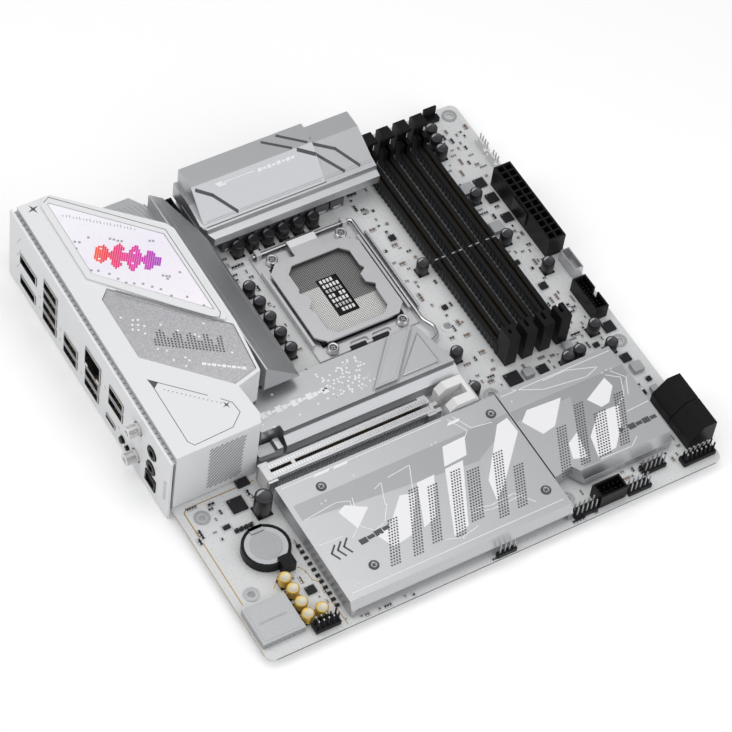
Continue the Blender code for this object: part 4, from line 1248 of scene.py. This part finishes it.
boardTrim = {
    "edges": [
        ((4.0, 239.8), (-0.03, 0.0), 1), ((4.0, 239.8), (243.84, 243.87), 1),
        ((243.84, 243.87), (4.0, 239.8), 1), ((-0.03, 0.0), (4.0, 89.0), 0),
    ],
    "rearLine": [(41.0, 87.6), (6.0, 87.6), (4.0, 85.6), (4.0, 31.0)],
    "audioLine": [
        (20.7, 32.4), (25.0, 37.1), (30.7, 38.1), (36.2, 37.3), (38.0, 34.4),
        (38.3, 28.8), (41.0, 26.0), (40.5, 14.4), (41.0, 1.4),
    ],
    "jointFields": [
        (235.0, 141.0, 2, 12, 4.1), (66.0, 236.0, 4, 1, 4.1), (46.0, 80.4, 44, 2, 2.0),
        (46.0, 84.4, 44, 1, 2.0),
        (226.0, 5.2, 6, 2, 2.54), (27.2, 4.0, 4, 2, 2.54), (177.8, 5.4, 5, 2, 2.54),
        (235.1, 97.0, 2, 10, 2.0),
    ],
    "rearJointRows": [
        102.0, 108.0, 124.0, 138.0, 144.0, 160.0, 166.0, 180.0, 188.0, 202.0, 210.0, 224.0, 232.0,
    ],
    "undersideCount": 170,
}


# Edge strips (a gold one on the rear edge, and dark painted shade on the lower part of the other
# edges), isolation lines, hole pads, solder joints and parts underneath.
def buildBoardTrim():
    edge = bmesh.new()
    # Slot 1 strips are painted shade: a dark band on the lower part of the board's side edges.
    for x, y, slot in boardTrim["edges"]:
        addBox(edge, x, y, (-1.2, -0.4), slot)
    finishPiece("boardEdgeLine", edge, [isolationGold, inkDark], smooth=False)
    lines = bmesh.new()
    face = levelPlane(0.0)
    addStroke(lines, face, boardTrim["rearLine"], 0.55, thick=0.025)
    addStroke(lines, face, boardTrim["audioLine"], 0.45, thick=0.025)
    for k in range(9):
        bottom = 30.6 - 2.4 * k
        addStroke(lines, face, [(22.9, bottom), (24.4, bottom)], 0.5, thick=0.03)
    finishPiece("isolationLines", lines, [isolationGold], smooth=False)
    rings = bmesh.new()
    for x, y in mountHoles:
        for z in (0.255, -1.875):
            addTurned(
                rings, x, y,
                [
                    (2.45, z - 0.02), (3.9, z - 0.02), (3.9, z + 0.02), (2.45, z + 0.02),
                    (2.45, z - 0.02),
                ],
                0, 32,
            )
            for k in range(8):
                turn = k * math.pi / 4 + 0.2
                addTurned(
                    rings, x + 3.2 * math.cos(turn), y + 3.2 * math.sin(turn),
                    [(0, z - 0.03), (0.32, z - 0.03), (0.32, z + 0.04), (0, z + 0.04)], 1, 10,
                )
    finishPiece("holePads", rings, [dullTin, inkGrey])
    joints = bmesh.new()
    for left in memorySlotLefts:
        for k in range(90):
            for side in (1.7, 4.2):
                addTurned(
                    joints, left + side, 102.0 + k * 1.34 + 0.4 * (side > 3),
                    [(0, -2.15), (0.28, -2.05), (0.42, -1.62), (0, -1.58)], 0, 6,
                )
    for x0, y0, columns, rows, pitch in boardTrim["jointFields"]:
        for column in range(columns):
            for line in range(rows):
                addTurned(
                    joints, x0 + column * pitch, y0 + line * pitch,
                    [(0, -2.2), (0.3, -2.1), (0.5, -1.62), (0, -1.58)], 0, 6,
                )
    for socketY in boardTrim["rearJointRows"]:
        for k in range(5):
            addTurned(
                joints, 3.0 + 2.6 * k, socketY, [(0, -2.2), (0.3, -2.1), (0.5, -1.62), (0, -1.58)],
                0, 6,
            )
    finishPiece("solderJoints", joints, [tinSolder])
    under = bmesh.new()
    for _ in range(boardTrim["undersideCount"]):
        x, y = dice.uniform(84, 230), dice.uniform(20, 232)
        underSocket = 98 < x < 161 and 122 < y < 206
        underMemory = 177 < x < 217 and y > 98
        underSlot = 44 < x < 136 and 78 < y < 90
        if underSocket or underMemory or underSlot or math.hypot(x - 165.1, y - 80) < 6:
            continue
        addBox(under, (x - 0.8, x + 0.8), (y - 0.4, y + 0.4), (-2.1, -1.6), 0)
        addBox(under, (x - 0.85, x - 0.45), (y - 0.42, y + 0.42), (-2.12, -1.6), 1)
        addBox(under, (x + 0.45, x + 0.85), (y - 0.42, y + 0.42), (-2.12, -1.6), 1)
    finishPiece("undersideParts", under, [ceramicBrown, tinSolder], smooth=False)


def addPins(shape, x0, y0, columns, rows, pitch, z, size=0.62, slot=0):
    for column in range(columns):
        for row in range(rows):
            x, y = x0 + column * pitch, y0 + row * pitch
            addBox(shape, (x - size / 2, x + size / 2), (y - size / 2, y + size / 2), z, slot)


# Loose pin strips, their black feet and the white ones on the memory side.
def buildHeaders():
    pins = bmesh.new()
    for x0, y0, columns, rows in (
        (193.0, 3.0, 5, 2), (205.6, 9.6, 5, 2), (163.4, 3.2, 5, 2), (120.4, 1.5, 4, 1),
    ):
        reach = 2.54
        addBox(
            pins, (x0 - 1.2, x0 + (columns - 1) * reach + 1.2),
            (y0 - 1.2, y0 + (rows - 1) * reach + 1.2), (0.05, 2.5), 1,
        )
        addPins(pins, x0, y0, columns, rows, reach, (2.4, 8.3))
    for box, columns in ((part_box("front_panel_header"), 6), (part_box("front_audio_header"), 4)):
        low, high = ((Vector(corner) - boardCorner) / mm for corner in box)
        for column in range(columns):
            for y in (low.y + 1.27, high.y - 1.27):
                x = low.x + 1.27 + 2.54 * column
                if x < high.x:
                    addBox(pins, (x - 0.36, x + 0.36), (y - 0.36, y + 0.36), (8.0, 8.75), 0)
    finishPiece(
        "pinHeaders", pins, [dullTin, blackMoulding], bevel=0.08, segments=1,
    )
    white = bmesh.new()
    for y0 in (198.0, 208.0):
        addBox(white, (239.9, 243.4), (y0, y0 + 8.6), (0.05, 2.6), 0)
        addBox(white, (239.9, 240.6), (y0 + 1.6, y0 + 7.0), (2.6, 6.0), 0)
        addPins(white, 242.0, y0 + 1.0, 1, 3 if y0 < 200 else 4, 2.2, (2.5, 7.6), slot=1)
    addBox(white, (221.4, 226.6), (3.2, 3.4), (0.05, 0.3), 0)
    for x0 in (168.4, 215.6):
        addBox(white, (x0, x0 + 5.4), (233.4, 237.2), (0.05, 2.6), 0)
        addPins(white, x0 + 1.0, 235.2, 3, 1, 1.7, (2.5, 7.0), slot=1)
    finishPiece("fanHeaders", white, [whiteMoulding, tinSolder], bevel=0.12)


# The processor socket's contact bed, with painted shade on its far part, its bare centre and the
# moulded corner marks.
def buildSocketInside():
    sheet = bmesh.new()
    level = (1.21, 1.36)
    near = (
        ((110.6, 148.0), (141.9, 151.0)), ((110.6, 123.4), (151.0, 171.0)),
        ((134.8, 148.0), (151.0, 157.0)),
    )
    # The far part of the bed gets the darker copy: painted shade.
    far = (
        ((110.6, 148.0), (174.6, 186.7)), ((110.6, 123.4), (171.0, 174.6)),
        ((134.8, 148.0), (157.0, 174.6)),
    )
    for tone, boxes in enumerate((near, far)):
        for x, y in boxes:
            addBox(sheet, x, y, level, tone)
    finishPiece("contactBed", sheet, [contactField, contactPaintedShade], smooth=False)
    pads = bmesh.new()
    for column in range(5):
        for row in range(7):
            if (column, row) in ((0, 0), (4, 6), (2, 3)):
                continue
            x, y = 125.0 + column * 1.85, 153.4 + row * 3.1
            addBox(pads, (x, x + 1.1), (y, y + 2.0), (0.6, 1.05), row % 3 == 1)
    finishPiece("centreParts", pads, [whiteMoulding, tinSolder], smooth=False)
    marks = bmesh.new()
    frameFace = levelPlane(3.1)
    for x, y in ((109.0, 140.2), (149.6, 140.2), (109.0, 188.4), (149.6, 188.4)):
        addTurned(marks, x, y, [(0, 3.08), (0.7, 3.08), (0.7, 3.2), (0, 3.2)], 0, 16)
    for k in range(12):
        addStroke(marks, frameFace, [(114.0 + k * 2.7, 139.6), (115.2 + k * 2.7, 139.6)], 0.5)
    addPatch(marks, frameFace, [(108.4, 186.0), (110.0, 187.6), (108.4, 188.0)])
    finishPiece("socketMarks", marks, [inkGrey], smooth=False)
    slots = bmesh.new()
    for x in ((117.6, 128.0), (129.8, 140.6)):
        addBox(slots, (x[0] + 0.9, x[1] - 0.9), (131.0, 133.3), (0.05, 1.66))
    finishPiece("frameSlotShadows", slots, [chipEpoxy], smooth=False)
    strip = bmesh.new()
    addBox(strip, (159.4, 160.4), (139.0, 190.0), (0.05, 3.4))
    addBox(strip, (156.9, 160.4), (139.0, 190.0), (0.05, 0.5))
    finishPiece("leverRail", strip, [nickelSteel], bevel=0.15)


# Ribs and contacts of the expansion slot and the memory slots.
def buildSlotTrim():
    teeth = bmesh.new()
    for k in range(58):
        x = 46.4 + k * 1.45
        addBox(teeth, (x, x + 0.7), (86.75, 87.05), (1.2, 9.6), 0)
        addBox(teeth, (x, x + 0.7), (77.75, 78.05), (1.2, 9.6), 0)
        addBox(teeth, (x, x + 0.75), (83.8, 85.6), (11.0, 11.16), 0)
        addBox(teeth, (x, x + 0.75), (79.2, 81.0), (11.0, 11.16), 0)
    finishPiece("slotArmourRibs", teeth, [polishedSteel], smooth=False)
    contacts = bmesh.new()
    for k in range(82):
        x = 45.0 + k * 1.0
        if 56.0 < x < 58.4:
            continue
        for y in ((81.42, 81.62), (83.18, 83.38)):
            addBox(contacts, (x, x + 0.5), y, (4.6, 10.6), 0)
    base = bmesh.new()
    addBox(base, (44.0, 131.0), (77.4, 78.2), (0.1, 1.6))
    addBox(base, (44.0, 131.0), (86.6, 87.4), (0.1, 1.6))
    addPrism(base, [(42.3, 78.4), (44.6, 77.8), (44.6, 87.0), (42.3, 86.4)], (0.3, 11.15), 1)
    finishPiece("slotBase", base, [blackMoulding, whiteMoulding], bevel=0.25)
    for left in memorySlotLefts:
        middle = left + 2.95
        for k in range(118):
            y = 101.6 + k * 1.02
            if 155.4 < y < 158.0:
                continue
            for x in ((middle - 0.84, middle - 0.66), (middle + 0.66, middle + 0.84)):
                addBox(contacts, x, (y, y + 0.5), (3.0, 6.8), 0)
    for left in memorySlotLefts:
        addBox(contacts, (left, left + 1.9), (156.5, 157.1), (6.9, 7.05), 1)
        addBox(contacts, (left + 4.0, left + 5.9), (156.5, 157.1), (6.9, 7.05), 1)
    finishPiece("slotContacts", contacts, [dullGold, dullTin], smooth=False)
    ribs = bmesh.new()
    for left in memorySlotLefts:
        for k in range(40):
            y = 103.0 + k * 3.0
            addBox(ribs, (left - 0.12, left + 0.02), (y, y + 1.5), (0.8, 6.2))
            addBox(ribs, (left + 5.88, left + 6.02), (y, y + 1.5), (0.8, 6.2))
    finishPiece("memorySlotRibs", ribs, [blackGloss], smooth=False)


def buildBatteryAndShield():
    clip = bmesh.new()
    addBox(clip, (23.6, 30.4), (60.9, 62.6), (4.4, 5.3), 0)
    addBox(clip, (23.6, 30.4), (59.2, 62.6), (4.85, 5.3), 0)
    addTurned(
        clip, 27.0, 51.5,
        [(0, 4.66), (7.6, 4.66), (7.6, 4.78), (7.2, 4.78), (7.2, 4.72), (0, 4.72)], 0, 44,
    )
    for k in range(7):
        turn = k * 2 * math.pi / 7
        ahead = Vector((math.cos(turn), math.sin(turn)))
        addStroke(
            clip, levelPlane(4.7),
            [Vector((27.0, 51.5)) + ahead * 3.0, Vector((27.0, 51.5)) + ahead * 5.6], 0.5, 1,
        )
    finishPiece("batteryClip", clip, [cellFace, inkGrey], bevel=0.1)
    lid = bmesh.new()
    addPrism(lid, [(2.2, 8.2), (21.2, 8.2), (21.2, 26.2), (2.2, 26.2)], (3.55, 3.72), 0)
    for k in range(6):
        addStroke(
            lid, levelPlane(3.72), [(5.0 + k * 2.3, 17.2), (6.3 + k * 2.3, 17.2)],
            1.3 - 0.4 * (k % 2), 1,
        )
    for k in range(8):
        addBox(lid, (3.0 + 2.3 * k, 4.2 + 2.3 * k), (6.75, 6.95), (0.4, 1.5), 2)
        addBox(lid, (22.35, 22.55), (8.0 + 2.3 * k, 9.2 + 2.3 * k), (0.4, 1.5), 2)
    finishPiece("shieldLid", lid, [dullTin, inkGrey, tinSolder], bevel=0.15)


rearPorts = {
    "typeA": [
        (206.0, 3.7), (206.0, 11.4), (206.0, 19.1), (206.0, 26.8), (184.8, 3.7), (184.8, 11.4),
        (163.4, 3.7), (163.4, 11.4), (140.6, 16.6), (140.6, 24.3),
    ],
    "network": (163.4, 21.8),
    "wideMouths": [(228.4, 18.8, 11.6), (228.4, 3.9, 10.6), (144.5, 2.3, 6.4)],
    "marks": [
        (216.0, 12.0), (216.0, 3.7), (195.4, 11.4), (195.4, 3.7), (173.6, 3.7), (151.0, 20.0),
        (136.8, 6.6),
    ],
    "antennas": [(119.8, 27.4), (120.2, 6.0)],
}


# Tongues and contacts seen in the mouths, and printed marks beside them.
def buildRearPorts():
    tongues = bmesh.new()
    for y, z in rearPorts["typeA"]:
        addBox(tongues, (-1.6, 9.0), (y - 5.1, y + 5.1), (z + 0.35, z + 1.75), 0)
        for k in range(4):
            addBox(
                tongues, (-1.2, 6.0), (y - 4.1 + k * 2.5, y - 3.3 + k * 2.5), (z + 0.22, z + 0.38),
                1,
            )
    y, z = rearPorts["network"]
    for k in range(8):
        addBox(
            tongues, (0.0, 8.0), (y - 3.8 + k * 1.02, y - 3.45 + k * 1.02), (z + 3.6, z + 4.0), 1,
        )
    addBox(tongues, (-3.15, -2.9), (y - 6.6, y - 4.4), (z - 5.9, z - 4.5), 2)
    addBox(tongues, (-3.15, -2.9), (y + 4.4, y + 6.6), (z - 5.9, z - 4.5), 2)
    for y, z, wide in rearPorts["wideMouths"]:
        addBox(tongues, (-1.8, 8.0), (y - wide / 2, y + wide / 2), (z - 0.35, z + 0.55), 0)
    finishPiece(
        "portTongues", tongues, [blackMoulding, goldPlate, whiteMoulding], bevel=0.06, segments=1,
    )
    marks = bmesh.new()
    outside = (Vector((-2.6, 0, 0)), -yAxis, zAxis)
    for y, z in rearPorts["marks"]:
        addStroke(marks, outside, [(-y - 0.8, z), (-y + 0.8, z)], 0.34)
        addStroke(marks, outside, [(-y - 0.8, z + 1.0), (-y + 0.3, z + 1.0)], 0.34)
    for k in range(14):
        addSquare(marks, outside, -(240.0 - 0.9 * (k % 5)), 8.0 + 1.84 * k, 0.7, 0.785)
    for k in range(9):
        addStroke(marks, outside, [(-94.4, 6.0 + k * 1.6), (-92.0, 7.6 + k * 1.6)], 0.5)
    finishPiece("rearPanelMarks", marks, [inkGrey], smooth=False)
    threads = bmesh.new()
    for y, z in rearPorts["antennas"]:
        for k in range(7):
            verts = addTurned(threads, 0, 0, [(2.95, 0.0), (3.12, 0.22), (2.95, 0.44)], 0, 28, "X")
            bmesh.ops.translate(threads, vec=(-8.2 + k * 0.66, y, z), verts=verts)
        verts = addTurned(
            threads, 0, 0, [(0, -8.7), (1.1, -8.7), (1.1, -8.3), (0, -8.3)], 0, 18, "X",
        )
        bmesh.ops.translate(threads, vec=(0, y, z), verts=verts)
    finishPiece("antennaThreads", threads, [nickelSteel])


# Pins of the power connectors and ribs on the side connectors.
def buildConnectorTrim():
    trim = bmesh.new()
    for row in range(12):
        for column in range(2):
            x, y = 235.2 + column * 4.2, 141.2 + row * 4.2
            addBox(trim, (x - 0.5, x + 0.5), (y - 0.5, y + 0.5), (4.0, 9.6), 0)
    for column in range(4):
        x = 65.6 + column * 4.2
        for y in (235.2, 239.4):
            addBox(trim, (x - 0.5, x + 0.5), (y - 0.5, y + 0.5), (4.0, 9.6), 0)
    finishPiece("powerPins", trim, [goldPlate], smooth=False)
    clamp = bmesh.new()
    addBox(clamp, (231.9, 232.75), (158.0, 170.6), (3.4, 12.4), 0)
    addBox(clamp, (231.6, 232.3), (160.4, 168.2), (10.6, 12.6), 0)
    for k in range(5):
        addBox(clamp, (245.35, 245.55), (13.2 + k * 2.9, 14.8 + k * 2.9), (1.6, 12.4), 0)
        addBox(clamp, (245.35, 245.55), (29.3 + k * 2.9, 30.9 + k * 2.9), (1.6, 12.4), 0)
    finishPiece("connectorRibs", clamp, [blackGloss], bevel=0.1)


canBlack = grained("canBlack", (0.018, 0.018, 0.02), 0.34, 0.2, 4.0, height=0.05, tone=0.15)
cellFace = grained(
    "cellFace", (0.36, 0.365, 0.375), 0.42, 0.6, 3.0, (1.0, 3.0, 1.0), height=0.04, tone=0.06,
)
canTop = grained("canTop", (0.05, 0.05, 0.055), 0.36, 0.5, 4.0, height=0.05, tone=0.15)
dullGold = grained("dullGold", (0.16, 0.11, 0.05), 0.4, 0.8, 4.0, height=0.05, tone=0.1)
paleTop = grained("paleTop", (0.62, 0.58, 0.46), 0.42, 0.3, 4.0, height=0.05, tone=0.05)
goldCan = grained("goldCan", (0.70, 0.47, 0.10), 0.36, 0.6, 4.0, height=0.05, tone=0.08)
buildCans()
buildChips()
buildTinyParts()
buildBoardTrim()
buildHeaders()
buildSocketInside()
buildSlotTrim()
buildBatteryAndShield()
buildRearPorts()
buildConnectorTrim()
print("small parts ready")

# Floor, light and camera

studio = {
    "floorColour": (0.95, 0.95, 0.95),
    "floorGlow": 0.12,
    "skyStrength": 0.80,
    "skySteps": [
        (0.0, (0.20, 0.20, 0.21)), (0.35, (0.34, 0.34, 0.35)), (0.75, (0.78, 0.78, 0.79)),
        (1.0, (1.0, 1.0, 1.0)),
    ],
    "lensLength": 153.1,
    "cameraPlace": (-422.76, -577.16, 1168.75),
    "cameraLook": (0.37056, 0.47627, -0.79740),
    "cameraRight": (0.85822, -0.50386, 0.09788),
    "lights": (
        ("windowSoft", (-520, 300, 620), 560, 1.3, (1.0, 1.0, 1.0)),
        ("sideSoft", (420, -620, 420), 1000, 3.2, (0.97, 0.98, 1.0)),
        ("topSoft", (120, 260, 800), 600, 1.6, (1.0, 1.0, 1.0)),
    ),
}


# Pale floor, gradient sky and three soft lamps.
def buildStudio():
    floorShape = bmesh.new()
    bmesh.ops.create_grid(floorShape, x_segments=4, y_segments=4, size=6.0)
    floorMesh = bpy.data.meshes.new("studioFloor")
    floorShape.to_mesh(floorMesh)
    floorShape.free()
    floor = bpy.data.objects.new("studioFloor", floorMesh)
    floor.location.z = cadBox[0][2] - 0.0004
    floorMaterial = grained(
        "studioPaper", studio["floorColour"], 0.8, 0.0, 0.4, height=0.02, tone=0.004,
    )
    glow = floorMaterial.node_tree.nodes["Principled BSDF"]
    glow.inputs["Emission Color"].default_value = (1.0, 1.0, 1.0, 1.0)
    glow.inputs["Emission Strength"].default_value = studio["floorGlow"]
    floorMesh.materials.append(floorMaterial)
    bpy.context.scene.collection.objects.link(floor)
    world = bpy.data.worlds.new("studioSky")
    world.use_nodes = True
    tree = world.node_tree
    background = tree.nodes["Background"]
    coords = addNode(tree, "ShaderNodeTexCoord")
    split = addNode(tree, "ShaderNodeSeparateXYZ")
    tree.links.new(coords.outputs["Generated"], split.inputs[0])
    sky = rampNode(tree, split.outputs["Z"], studio["skySteps"])
    tree.links.new(sky, background.inputs["Color"])
    background.inputs["Strength"].default_value = studio["skyStrength"]
    bpy.context.scene.world = world
    bpy.context.scene.view_settings.view_transform = "Standard"
    middle = toWorld(122, 122, 0)
    for name, place, size, power, colour in studio["lights"]:
        lamp = bpy.data.lights.new(name, "AREA")
        lamp.energy = power
        lamp.size = size * mm
        lamp.color = colour
        light = bpy.data.objects.new(name, lamp)
        light.location = toWorld(*place)
        light.rotation_euler = (middle - light.location).to_track_quat("-Z", "Y").to_euler()
        bpy.context.scene.collection.objects.link(light)


def buildCamera():
    lens = bpy.data.cameras.new("benchCamera")
    lens.lens = studio["lensLength"]
    lens.sensor_width = 36.0
    lens.clip_start = 0.05
    lens.clip_end = 50.0
    camera = bpy.data.objects.new("benchCamera", lens)
    look = Vector(studio["cameraLook"]).normalized()
    right = Vector(studio["cameraRight"]).normalized()
    up = right.cross(look)
    turn = Matrix((right, up, -look)).transposed().to_4x4()
    camera.matrix_world = Matrix.Translation(toWorld(*studio["cameraPlace"])) @ turn
    bpy.context.scene.collection.objects.link(camera)
    bpy.context.scene.camera = camera


buildStudio()
buildCamera()
print("studio ready")
